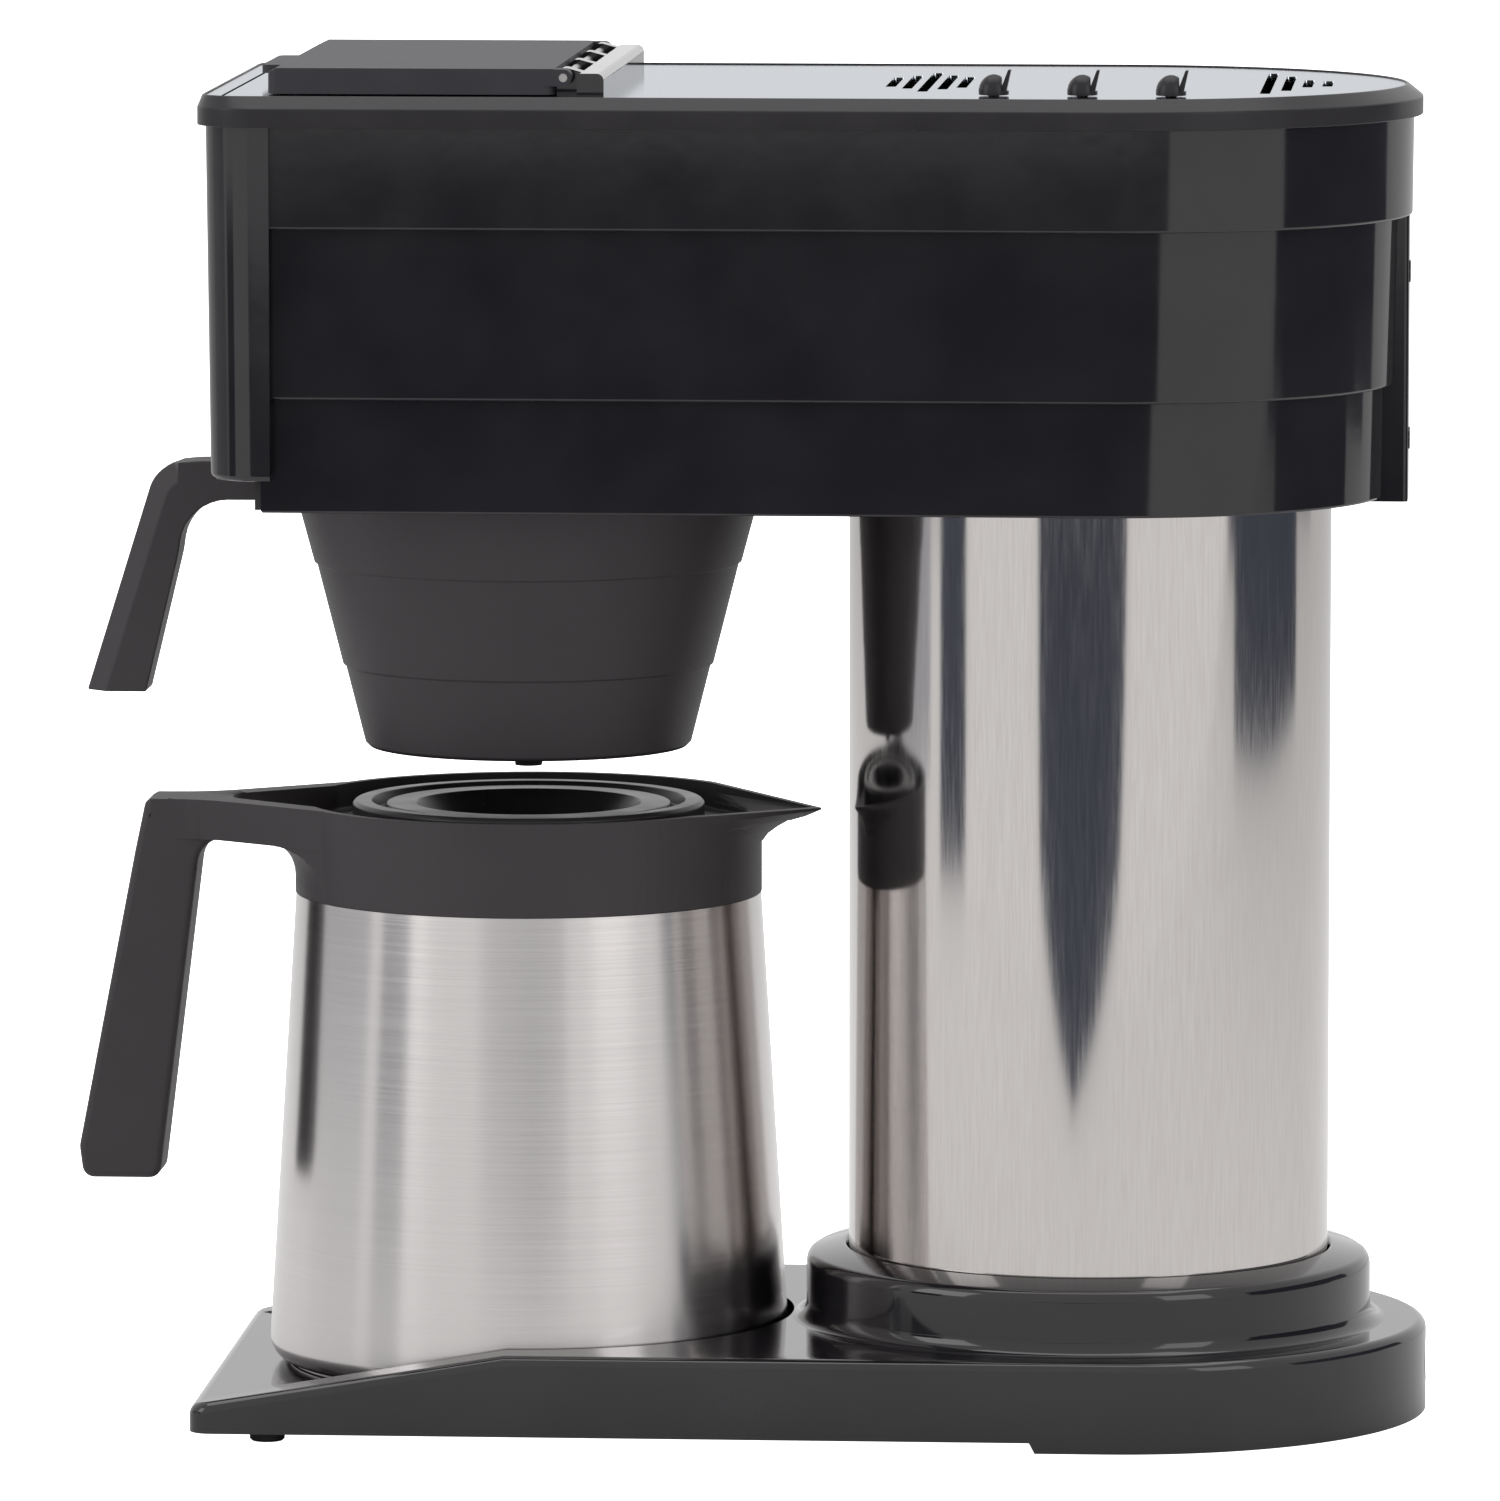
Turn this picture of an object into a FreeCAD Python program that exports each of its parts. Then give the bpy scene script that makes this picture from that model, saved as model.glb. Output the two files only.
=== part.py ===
import FreeCAD, Part
import math
import os

V = FreeCAD.Vector

# Driving dimensions, in millimetres. The front is -X, the back +X, up +Z,
# and the origin is on the counter, under the middle of the whole outline.
LENGTH = 391.0
HEIGHT = 391.2
HALF_WIDTH = 90.15
BASE_DEPTH = 350.5
REAR_X = LENGTH / 2
BASE_FRONT_X = REAR_X - BASE_DEPTH
CARAFE_X = -65.0
COLUMN_X = 97.5

# Base
BASE_BOTTOM_Z = 3.4
SKIRT_BOTTOM_Z = 0.4
SKIRT_FRONT_X = 88.0
DECK_Z = 12.0
BASE_TOP_Z = 26.5
BASE_LIP_Z = 11.4
BASE_WALL = 3.0
BASE_CORNER_R = 6.0
BASE_EDGE_R = 3.2
CARAFE_BAY_R = 77.0
COLLAR_R = 81.7
COLLAR_TOP_Z = 47.7
COLLAR_EDGE_R = 4.5
COLLAR_SHOULDER_Z = 30.0
PLATE_Z = 3.6
PLATE_THICKNESS = 2.0
FOOT_R = 5.0
FRONT_FOOT_X = -133.4
FRONT_FOOT_Y = 78.5
REAR_FOOT_X = 150.0
REAR_FOOT_Y = 58.0
GLAND_Z = 14.5
GLAND_R = 6.5
CORD_HOLE_R = 3.6

# Column and tank
COLUMN_R = 69.4
COLUMN_TOP_Z = 278.0
SHEET = 1.2
TANK_R = 64.0
TANK_BOTTOM_Z = 62.0
TANK_LID_R = 72.0
GASKET = 1.6
TANK_LID_THICKNESS = 3.0
TUBE_R = 3.5
TUBE_BORE_R = 2.5
TUBE_BEND_R = 8.0

# Head
HEAD_FRONT_X = -136.0
HEAD_REAR_X = 190.05
HEAD_HALF = 87.3
HEAD_CORNER_R = 6.0
HEAD_WALL = 2.5
HEAD_TOP_Z = 375.3
# lower edge, upper edge, inset of the lower edge, inset of the upper edge
HEAD_BANDS = [
    (265.5, 298.0, 8.0, 7.5),
    (298.0, 346.5, 4.7, 3.8),
    (346.5, HEAD_TOP_Z, 0.3, 0.0),
]
HEAD_BOTTOM_Z = HEAD_BANDS[0][0]
BAND_EDGE_R = 1.2
FASCIA_FRONT_X = -149.0
FASCIA_BACK_X = -130.5
FASCIA_HALF = 88.25
FASCIA_CORNER_R = 15.0
FASCIA_BOTTOM_Z = 275.2
FASCIA_FLANGE = 2.0
FASCIA_LEAN = 1.4
SPACER_HALF = 11.0
SPACER_BACK_X = 188.9
SPACER_TOP_Z = 346.5

# Hood: rim, panel, lid and hinge
RIM_FRONT_X = -150.85
RIM_REAR_X = 192.65
RIM_CORNER_R = 17.0
RIM_EDGE_Z = 380.5
RIM_TOP_Z = 384.0
RIM_BEVEL = 4.3
PANEL_TOP_Z = 383.6
PANEL_THICKNESS = 2.0
PANEL_INSET = 5.0
LEDGE = 3.0
MOUTH_FRONT_X = -122.0
MOUTH_BACK_X = -60.0
MOUTH_HALF = 62.0
LID_FRONT_X = -132.4
LID_BACK_X = -51.2
LID_HALF = 73.0
LID_BOTTOM_Z = 383.9
LID_WALL = 2.4
LID_BEVEL = 3.0
TAB_FRONT_X = -139.2
TAB_HALF = 24.5
TAB_TOP_Z = 389.3
HINGE_X = -48.6
HINGE_Z = 388.7
KNUCKLE_R = 2.4
PIN_R = 1.2
BAR_FRONT_X = -44.6
BAR_BACK_X = -37.0
BAR_TOP_Z = 390.0
SLOT_WIDTH = 2.9
SLOT_PITCH = 5.1
FRONT_SLOTS_X = 41.0
FRONT_SLOT_LENGTHS = [45.0, 62.0, 90.0, 68.0, 52.0]
REAR_SLOTS_X = 148.5
REAR_SLOT_PITCH = 5.6
REAR_SLOT_LENGTHS = [98.0, 69.0, 35.0, 26.0]
KNOB_PITCH = 25.0
KNOB_Y = -63.0
KNOB_R = 4.1
KNOB_HEIGHT = 5.8
KNOB_SHAFT_R = 1.5

# Reservoir and drain valve
RESERVOIR_FRONT_X = -131.0
RESERVOIR_BACK_X = 20.0
RESERVOIR_HALF = 74.0
RESERVOIR_BOTTOM_Z = 298.0
RESERVOIR_WALL = 2.0
VALVE_X = -68.0
VALVE_Y = 52.0
VALVE_LIFT = 5.0
VALVE_ROD_R = 2.5
DRAIN_R = 6.0
CUP_R = 12.0
CUP_BOTTOM_Z = 281.0

# Funnel and its carrier
CARRIER_TOP_Z = 279.0
CARRIER_DECK = 2.5
CARRIER_BACK_X = 13.0
CARRIER_HALF = 77.0
RAIL_INNER = 69.2
RAIL_BOTTOM_Z = 266.2
RAIL_TOP_Z = 269.0
FUNNEL_TOP_Z = 272.0
FUNNEL_FLANGE_R = 75.0
FUNNEL_WALL = 2.2
FUNNEL_BOTTOM_Z = 191.6
FUNNEL_OUTLET_R = 3.2
FUNNEL_GRIP_HALF = 8.0
# height and outer radius of the cone, with its two small ledges
FUNNEL_CONE = [
    (192.8, 47.2),
    (212.4, 52.3),
    (213.4, 52.9),
    (240.4, 60.2),
    (241.4, 60.8),
    (268.0, 67.9),
]

# Carafe
CARAFE_BOTTOM_Z = 12.3
CARAFE_FOOT_R = 71.0
CARAFE_LOW_Z = 19.0
CARAFE_LOW_R = 75.4
CARAFE_JOINT_Z = 149.0
CARAFE_JOINT_R = 67.4
COLLAR_RING_R = 67.6
CARAFE_TOP_Z = 177.0
SPOUT_LOW_Z = 164.0
SPOUT_TIP = 85.0
SPOUT_TIP_Z = 174.3
LEMON_R = 65.0
WELL_FLOOR_Z = 168.0
LID_WELL_R = 52.2
CARAFE_LID_R = 51.0
NECK_R = 44.0
NECK_TOP_Z = 158.0
HANDLE_HALF = 10.0
HANDLE_TIP_X = -LENGTH / 2
BREW_HOLE_R = 9.0


def box(x0, x1, y0, y1, z0, z1):
    return Part.makeBox(x1 - x0, y1 - y0, z1 - z0, V(x0, y0, z0))


def cylinder(r, z0, z1, x=0.0, y=0.0):
    return Part.makeCylinder(r, z1 - z0, V(x, y, z0))


def tube(outer, inner, z0, z1, x=0.0, y=0.0):
    return cylinder(outer, z0, z1, x, y).cut(cylinder(inner, z0, z1, x, y))


def polygon_wire(points):
    return Part.makePolygon(points + [points[0]])


def rounded_wire(corners):
    """Closed wire through (point, radius) corners, each rounded by a tangent arc."""
    count = len(corners)
    starts, ends, middles = [], [], []
    for i in range(count):
        point, radius = corners[i]
        before = (corners[i - 1][0] - point).normalize()
        after = (corners[(i + 1) % count][0] - point).normalize()
        half_angle = before.getAngle(after) / 2
        reach = radius / math.tan(half_angle) if radius else 0.0
        bisector = (before + after).normalize() if radius else V(0, 0, 0)
        drop = radius / math.sin(half_angle) - radius if radius else 0.0
        starts.append(point + before * reach)
        ends.append(point + after * reach)
        middles.append(point + bisector * drop)
    edges = []
    for i in range(count):
        if corners[i][1]:
            edges.append(Part.Arc(starts[i], middles[i], ends[i]).toShape())
        following = starts[(i + 1) % count]
        if (following - ends[i]).Length > 1e-6:
            edges.append(Part.LineSegment(ends[i], following).toShape())
    return Part.Wire(edges)


def side_profile(corners, half_thickness, y=0.0):
    """Solid of an outline drawn in the X-Z plane, thickened along Y about y."""
    wire = rounded_wire([(V(x, y - half_thickness, z), r) for x, z, r in corners])
    return Part.Face(wire).extrude(V(0, 2 * half_thickness, 0))


def plan_profile(corners, z0, z1):
    wire = rounded_wire([(V(x, y, z0), r) for x, y, r in corners])
    return Part.Face(wire).extrude(V(0, 0, z1 - z0))


def rounded_block(x0, x1, y0, y1, z0, z1, r):
    return plan_profile([(x0, y0, r), (x1, y0, r), (x1, y1, r), (x0, y1, r)], z0, z1)


def revolved(points, x=0.0):
    """Solid of revolution of an (r, z) outline about the upright axis at x."""
    face = Part.Face(polygon_wire([V(x + r, 0, z) for r, z in points]))
    return face.revolve(V(x, 0, 0), V(0, 0, 1), 360)


def plan_wire(front, rear, half, corner, z):
    """Straight front with rounded corners, straight sides and a half-round back."""
    centre = rear - half
    k = corner * (1 - math.sqrt(0.5))
    near_front = V(front + corner, -half, z)
    far_front = V(front + corner, half, z)
    return Part.Wire([
        Part.LineSegment(V(centre, -half, z), near_front).toShape(),
        Part.Arc(near_front, V(front + k, k - half, z), V(front, corner - half, z)).toShape(),
        Part.LineSegment(V(front, corner - half, z), V(front, half - corner, z)).toShape(),
        Part.Arc(V(front, half - corner, z), V(front + k, half - k, z), far_front).toShape(),
        Part.LineSegment(far_front, V(centre, half, z)).toShape(),
        Part.Arc(V(centre, half, z), V(rear, 0, z), V(centre, -half, z)).toShape(),
    ])


def plan_solid(front, rear, half, corner, z0, z1):
    return Part.Face(plan_wire(front, rear, half, corner, z0)).extrude(V(0, 0, z1 - z0))


def bent_tube(points, radius, bore):
    """Tube along straight runs whose corners are rounded by the standard bend."""
    edges = []
    start = points[0]
    for i in range(1, len(points) - 1):
        before = (points[i - 1] - points[i]).normalize()
        after = (points[i + 1] - points[i]).normalize()
        half_angle = before.getAngle(after) / 2
        reach = TUBE_BEND_R / math.tan(half_angle)
        drop = TUBE_BEND_R / math.sin(half_angle) - TUBE_BEND_R
        first = points[i] + before * reach
        last = points[i] + after * reach
        middle = points[i] + (before + after).normalize() * drop
        edges.append(Part.LineSegment(start, first).toShape())
        edges.append(Part.Arc(first, middle, last).toShape())
        start = last
    edges.append(Part.LineSegment(start, points[-1]).toShape())
    path = Part.Wire(edges)
    direction = (points[1] - points[0]).normalize()

    def swept(r):
        ring = Part.Wire(Part.makeCircle(r, points[0], direction))
        return path.makePipeShell([ring], True, False)

    return swept(radius).cut(swept(bore)) if bore else swept(radius)


# Base

def base_form(inset):
    """Slab with the carafe bay and sloping side walls, drawn in by a wall thickness."""
    form = plan_solid(BASE_FRONT_X + inset, REAR_X - inset, HALF_WIDTH - inset,
                      BASE_CORNER_R, BASE_BOTTOM_Z, BASE_TOP_Z - inset)
    bay_r = CARAFE_BAY_R + inset
    deck = DECK_Z - inset
    bay = cylinder(bay_r, deck, HEIGHT, CARAFE_X)
    bay = bay.fuse(box(BASE_FRONT_X - bay_r, CARAFE_X, -bay_r, bay_r, deck, HEIGHT))
    slope = side_profile([
        (CARAFE_X, BASE_TOP_Z - inset, 0),
        (BASE_FRONT_X - inset, BASE_LIP_Z - inset, 0),
        (BASE_FRONT_X - inset, HEIGHT, 0),
        (CARAFE_X, HEIGHT, 0),
    ], 2 * HALF_WIDTH)
    return form.cut(bay.fuse(slope)).removeSplitter()


def outer_top_edges(shape):
    """Edges along the outside of the base where the wall turns into the top."""
    picked = []
    for edge in shape.Edges:
        middle = edge.valueAt((edge.FirstParameter + edge.LastParameter) / 2)
        outside = abs(middle.y) > HALF_WIDTH - 0.1 or middle.x < BASE_FRONT_X + 0.1
        back = math.hypot(middle.x - (REAR_X - HALF_WIDTH), middle.y) > HALF_WIDTH - 0.1
        level = edge.BoundBox.ZMin > DECK_Z and middle.z > DECK_Z
        if level and (outside or (back and middle.x > COLUMN_X)):
            picked.append(edge)
    return picked


def base_housing():
    body = base_form(0.0)
    body = body.makeFillet(BASE_EDGE_R, outer_top_edges(body))
    collar = cylinder(COLLAR_R, BASE_TOP_Z - BASE_WALL, COLLAR_TOP_Z, COLUMN_X)
    collar = collar.makeFillet(COLLAR_EDGE_R, [e for e in collar.Edges if e.BoundBox.ZMin > COLLAR_TOP_Z - 1])
    skirt = plan_solid(BASE_FRONT_X, REAR_X, HALF_WIDTH, BASE_CORNER_R, SKIRT_BOTTOM_Z, BASE_BOTTOM_Z + 1)
    skirt = skirt.cut(side_profile([
        (BASE_FRONT_X - 1, SKIRT_BOTTOM_Z - 1, 0),
        (SKIRT_FRONT_X + 1, SKIRT_BOTTOM_Z - 1, 0),
        (SKIRT_FRONT_X - BASE_BOTTOM_Z, BASE_BOTTOM_Z + 2, 0),
        (BASE_FRONT_X - 1, BASE_BOTTOM_Z + 2, 0),
    ], 2 * HALF_WIDTH))
    skirt = skirt.cut(plan_solid(BASE_FRONT_X + BASE_WALL, REAR_X - BASE_WALL, HALF_WIDTH - BASE_WALL,
                                 BASE_CORNER_R, SKIRT_BOTTOM_Z, BASE_BOTTOM_Z + 1))
    body = body.cut(base_form(BASE_WALL)).fuse([collar, skirt])
    socket = cylinder(COLUMN_R + 0.4, COLLAR_SHOULDER_Z, HEIGHT, COLUMN_X)
    passage = cylinder(TANK_R, BASE_BOTTOM_Z, HEIGHT, COLUMN_X)
    gland_hole = Part.makeCylinder(GLAND_R, 40, V(REAR_X - 20, 0, GLAND_Z), V(1, 0, 0))
    return body.cut([socket, passage, gland_hole]).removeSplitter()


def base_bottom_plate():
    gap = BASE_WALL + 0.2
    return plan_solid(BASE_FRONT_X + gap, REAR_X - gap, HALF_WIDTH - gap, BASE_CORNER_R,
                      PLATE_Z, PLATE_Z + PLATE_THICKNESS)


def rubber_feet():
    feet = []
    for x, y, r in [(FRONT_FOOT_X, FRONT_FOOT_Y, FOOT_R), (REAR_FOOT_X, REAR_FOOT_Y, FOOT_R)]:
        for side in (-1, 1):
            feet.append(revolved([(0, 0), (r - 0.6, 0), (r, 0.6), (r, PLATE_Z), (0, PLATE_Z)]))
            feet[-1].translate(V(x, side * y, 0))
    return Part.makeCompound(feet)


def base_screws():
    screws = []
    for x, y in [(-120, 55), (20, 78), (120, 74)]:
        for side in (-1, 1):
            head = cylinder(3.2, PLATE_Z - 1.4, PLATE_Z, x, side * y)
            screws.append(head.cut(box(x - 0.5, x + 0.5, side * y - 4, side * y + 4, PLATE_Z - 2, PLATE_Z - 0.8)))
    return Part.makeCompound(screws)


def cord_gland():
    back = REAR_X - 0.5
    barrel = Part.makeCylinder(GLAND_R, 10, V(back - 10, 0, GLAND_Z), V(1, 0, 0))
    flange = Part.makeCylinder(GLAND_R + 1.5, 2, V(back - 8, 0, GLAND_Z), V(1, 0, 0))
    cord_hole = Part.makeCylinder(CORD_HOLE_R, 12, V(back - 11, 0, GLAND_Z), V(1, 0, 0))
    return barrel.fuse(flange.common(base_form(BASE_WALL))).cut(cord_hole).removeSplitter()


# Column, tank and water path

def column_shell():
    return tube(COLUMN_R, COLUMN_R - SHEET, COLLAR_SHOULDER_Z, COLUMN_TOP_Z, COLUMN_X)


TANK_FLANGE_Z = COLUMN_TOP_Z
TANK_GASKET_Z = TANK_FLANGE_Z + SHEET
TANK_LID_Z = TANK_GASKET_Z + GASKET
TANK_LID_TOP_Z = TANK_LID_Z + TANK_LID_THICKNESS


def water_tank():
    inner = TANK_R - SHEET
    return revolved([
        (0, TANK_BOTTOM_Z), (TANK_R - 8, TANK_BOTTOM_Z), (TANK_R, TANK_BOTTOM_Z + 8),
        (TANK_R, TANK_FLANGE_Z), (TANK_LID_R, TANK_FLANGE_Z), (TANK_LID_R, TANK_GASKET_Z),
        (inner, TANK_GASKET_Z), (inner, TANK_BOTTOM_Z + 8.5),
        (inner - 7.5, TANK_BOTTOM_Z + SHEET), (0, TANK_BOTTOM_Z + SHEET),
    ], COLUMN_X)


def tank_gasket():
    return tube(TANK_LID_R, TANK_R, TANK_GASKET_Z, TANK_LID_Z, COLUMN_X)


SPRAY_PORT_X = COLUMN_X - 22.0
FILL_PORT_X = COLUMN_X - 22.5
HEATER_X = COLUMN_X + 12.0
HEATER_HALF = 18.0
HEATER_R = 4.0
THERMOSTAT_X = COLUMN_X + 40.0


def tank_lid():
    lid = cylinder(TANK_LID_R, TANK_LID_Z, TANK_LID_TOP_Z, COLUMN_X)
    ports = [cylinder(TUBE_R, TANK_LID_Z, TANK_LID_TOP_Z, SPRAY_PORT_X, 0),
             cylinder(TUBE_R, TANK_LID_Z, TANK_LID_TOP_Z, FILL_PORT_X, VALVE_Y),
             cylinder(3.0, TANK_LID_Z, TANK_LID_TOP_Z, THERMOSTAT_X, 0)]
    for side in (-1, 1):
        ports.append(cylinder(HEATER_R, TANK_LID_Z, TANK_LID_TOP_Z, HEATER_X, side * HEATER_HALF))
    return lid.cut(ports)


def heating_element():
    bottom = TANK_BOTTOM_Z + 20 + HEATER_HALF
    legs = []
    for side in (-1, 1):
        legs.append(cylinder(HEATER_R, bottom, TANK_LID_TOP_Z + 8, HEATER_X, side * HEATER_HALF))
    ring = Part.makeTorus(HEATER_HALF, HEATER_R, V(HEATER_X, 0, bottom), V(1, 0, 0))
    bend = ring.common(box(HEATER_X - 10, HEATER_X + 10, -40, 40, bottom - 40, bottom))
    return bend.fuse(legs).removeSplitter()


def thermostat():
    probe = cylinder(3.0, TANK_LID_Z - 40, TANK_LID_TOP_Z, THERMOSTAT_X)
    can = cylinder(9.0, TANK_LID_TOP_Z, TANK_LID_TOP_Z + 11, THERMOSTAT_X)
    return probe.fuse(can).removeSplitter()


def fill_tube():
    run_z = CUP_BOTTOM_Z + 11.5
    return bent_tube([
        V(VALVE_X + CUP_R, VALVE_Y, run_z),
        V(FILL_PORT_X, VALVE_Y, run_z),
        V(FILL_PORT_X, VALVE_Y, TANK_BOTTOM_Z + 15),
    ], TUBE_R, TUBE_BORE_R)


def spray_tube():
    run_z = TANK_LID_TOP_Z + 9.8
    return bent_tube([
        V(SPRAY_PORT_X, 0, TANK_LID_Z),
        V(SPRAY_PORT_X, 0, run_z),
        V(CARAFE_X, 0, run_z),
        V(CARAFE_X, 0, CARRIER_TOP_Z + 3),
    ], TUBE_R, TUBE_BORE_R)


def sprayhead():
    under = CARRIER_TOP_Z - CARRIER_DECK
    disc = revolved([
        (0, under - 3.2), (18, under - 3.2), (21, under - 1.4), (21, under), (7, under),
        (7, CARRIER_TOP_Z + 3), (TUBE_R, CARRIER_TOP_Z + 3), (TUBE_BORE_R, CARRIER_TOP_Z + 1),
        (TUBE_BORE_R, under - 1.2), (0, under - 1.2),
    ], CARAFE_X)
    holes = [cylinder(1.2, under - 4, under, CARAFE_X, 0)]
    for i in range(5):
        angle = math.radians(72 * i)
        spot = V(CARAFE_X + 12 * math.cos(angle), 12 * math.sin(angle), under - 4)
        holes.append(Part.makeCylinder(1.2, 1.6, spot))
    return disc.cut(holes)


# Head

def band_loft(low, high, inset_low, inset_high, wall):
    def outline(inset, z):
        return plan_wire(HEAD_FRONT_X + wall, HEAD_REAR_X - inset - wall, HEAD_HALF - inset - wall,
                         HEAD_CORNER_R, z)
    return Part.makeLoft([outline(inset_low, low), outline(inset_high, high)], True, True)


def head_outer():
    """Three drafted bands, each stepping in below the one above, with softened lower edges."""
    bands = []
    for low, high, inset_low, inset_high in HEAD_BANDS:
        band = band_loft(low, high, inset_low, inset_high, 0.0)
        bands.append(band.makeFillet(BAND_EDGE_R, [e for e in band.Edges if e.BoundBox.ZMax < low + 0.1]))
    return bands[0].fuse(bands[1:]).removeSplitter()


def head_cavity():
    spaces = []
    for i, (low, high, inset_low, inset_high) in enumerate(HEAD_BANDS):
        floor = low - 1 if i == 0 else low + HEAD_WALL
        spaces.append(band_loft(floor, high + HEAD_WALL, inset_low, inset_high, HEAD_WALL))
    return spaces[0].fuse(spaces[1:])


def head_housing():
    body = head_outer().cut(head_cavity())
    joggle_half = FASCIA_HALF - FASCIA_FLANGE - 0.1
    for side in (-1, 1):
        y0, y1 = sorted((side * joggle_half, side * HALF_WIDTH))
        body = body.cut(box(HEAD_FRONT_X - 1, FASCIA_BACK_X + 0.2, y0, y1, HEAD_BANDS[2][0] - 1, HEIGHT))
    funnel_door = box(HEAD_FRONT_X - 1, HEAD_FRONT_X + 8, 0.2 - CARRIER_HALF, CARRIER_HALF - 0.2,
                      HEAD_BOTTOM_Z - 1, CARRIER_TOP_Z)
    return body.cut(funnel_door)


def head_floor():
    low, high, inset_low, inset_high = HEAD_BANDS[0]
    room = band_loft(low, high, inset_low, inset_high, HEAD_WALL)
    plate = room.common(box(CARRIER_BACK_X, HEAD_REAR_X, -HALF_WIDTH, HALF_WIDTH, low, low + 3.0))
    ring = cylinder(COLUMN_R + 2.6, low, COLUMN_TOP_Z, COLUMN_X)
    return plate.fuse(ring).cut(cylinder(COLUMN_R, low - 1, HEIGHT, COLUMN_X)).removeSplitter()


def funnel_carrier():
    """Spray deck with turned-in rails, extruded along the funnel's travel, with a back stop."""
    half = HEAD_HALF - HEAD_BANDS[0][2] - HEAD_WALL
    side_wall = 1.4
    section = [V(HEAD_FRONT_X, y, z) for y, z in [
        (-half, RAIL_BOTTOM_Z), (-RAIL_INNER, RAIL_BOTTOM_Z), (-RAIL_INNER, RAIL_TOP_Z),
        (side_wall - half, RAIL_TOP_Z), (side_wall - half, CARRIER_TOP_Z - CARRIER_DECK),
        (half - side_wall, CARRIER_TOP_Z - CARRIER_DECK), (half - side_wall, RAIL_TOP_Z),
        (RAIL_INNER, RAIL_TOP_Z), (RAIL_INNER, RAIL_BOTTOM_Z), (half, RAIL_BOTTOM_Z),
        (half, CARRIER_TOP_Z), (-half, CARRIER_TOP_Z)]]
    channel = Part.Face(polygon_wire(section)).extrude(V(CARRIER_BACK_X - HEAD_FRONT_X, 0, 0))
    stop = box(CARRIER_BACK_X - 2, CARRIER_BACK_X, -half, half, RAIL_BOTTOM_Z, CARRIER_TOP_Z)
    posts = []
    for x in (RESERVOIR_FRONT_X + 15, RESERVOIR_BACK_X - 15):
        for y in (10 - RESERVOIR_HALF, RESERVOIR_HALF - 10):
            posts.append(cylinder(4, CARRIER_TOP_Z - 1, RESERVOIR_BOTTOM_Z, x, y))
    body = channel.fuse([stop] + posts)
    return body.cut(cylinder(7, RAIL_TOP_Z, CARRIER_TOP_Z + 0.5, CARAFE_X)).removeSplitter()


def fascia_form(wall, low):
    """Front cover drawn in by a wall, leaning slightly out towards the top."""
    def outline(lean, z):
        front = FASCIA_FRONT_X + lean + wall
        half = FASCIA_HALF - wall
        corner = FASCIA_CORNER_R - wall
        return rounded_wire([
            (V(FASCIA_BACK_X, -half, z), 0), (V(FASCIA_BACK_X, half, z), 0),
            (V(front, half, z), corner), (V(front, -half, z), corner)])
    return Part.makeLoft([outline(FASCIA_LEAN, low), outline(0.0, HEAD_TOP_Z)], True, True)


def front_fascia():
    outer = fascia_form(0.0, FASCIA_BOTTOM_Z)
    outer = outer.makeFillet(2.0, [e for e in outer.Edges
                                   if e.BoundBox.ZMax < FASCIA_BOTTOM_Z + 0.1
                                   and e.BoundBox.XMin < FASCIA_BACK_X - 1])
    shell = outer.cut(fascia_form(FASCIA_FLANGE, FASCIA_BOTTOM_Z + 1.2))
    shell = shell.cut(box(HEAD_FRONT_X, 0, -HEAD_HALF, HEAD_HALF, 0, HEAD_BANDS[2][0] - 1)
                      .common(box(HEAD_FRONT_X, 0, 2.0 - FASCIA_HALF, FASCIA_HALF - 2.0, 0, HEIGHT)))
    ribs = []
    for y in (-60, -20, 20, 60):
        ribs.append(box(FASCIA_FRONT_X + 2, HEAD_FRONT_X, y - 1, y + 1, HEAD_BANDS[1][0], HEAD_TOP_Z - 20))
    return shell.fuse(ribs).removeSplitter()


def rear_spacer():
    rib = rounded_block(HEAD_REAR_X - 20, SPACER_BACK_X, -SPACER_HALF, SPACER_HALF,
                        HEAD_BOTTOM_Z - 1.0, SPACER_TOP_Z, 1.5)
    return rib.cut(head_outer())


SPACER_SCREW_ZS = (282.0, 330.0)


def spacer_screws():
    screws = []
    for z in SPACER_SCREW_ZS:
        head = Part.makeCylinder(3.2, 1.0, V(SPACER_BACK_X, 0, z), V(1, 0, 0))
        screws.append(head.cut(box(SPACER_BACK_X + 0.5, SPACER_BACK_X + 2, -0.5, 0.5, z - 4, z + 4)))
    return Part.makeCompound(screws)


# Hood

def rim_plan(inset, z0, z1):
    return plan_solid(RIM_FRONT_X + inset, RIM_REAR_X - inset, HALF_WIDTH - inset,
                      RIM_CORNER_R - inset, z0, z1)


def hood_rim():
    def outline(inset, z):
        return plan_wire(RIM_FRONT_X + inset, RIM_REAR_X - inset, HALF_WIDTH - inset,
                         RIM_CORNER_R - inset, z)
    lip = rim_plan(0.0, HEAD_TOP_Z, RIM_EDGE_Z)
    bevel = Part.makeLoft([outline(0.0, RIM_EDGE_Z), outline(RIM_BEVEL, RIM_TOP_Z)], True, True)
    seat = rim_plan(PANEL_INSET, PANEL_TOP_Z - PANEL_THICKNESS, HEIGHT)
    opening = rim_plan(PANEL_INSET + LEDGE, HEAD_TOP_Z - 1, HEIGHT)
    return lip.fuse(bevel).cut([seat, opening]).removeSplitter()


def slot(x, length, z0, z1):
    r = SLOT_WIDTH / 2 - 0.01
    return rounded_block(x - SLOT_WIDTH / 2, x + SLOT_WIDTH / 2, -length / 2, length / 2, z0, z1, r * 0.4)


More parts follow.
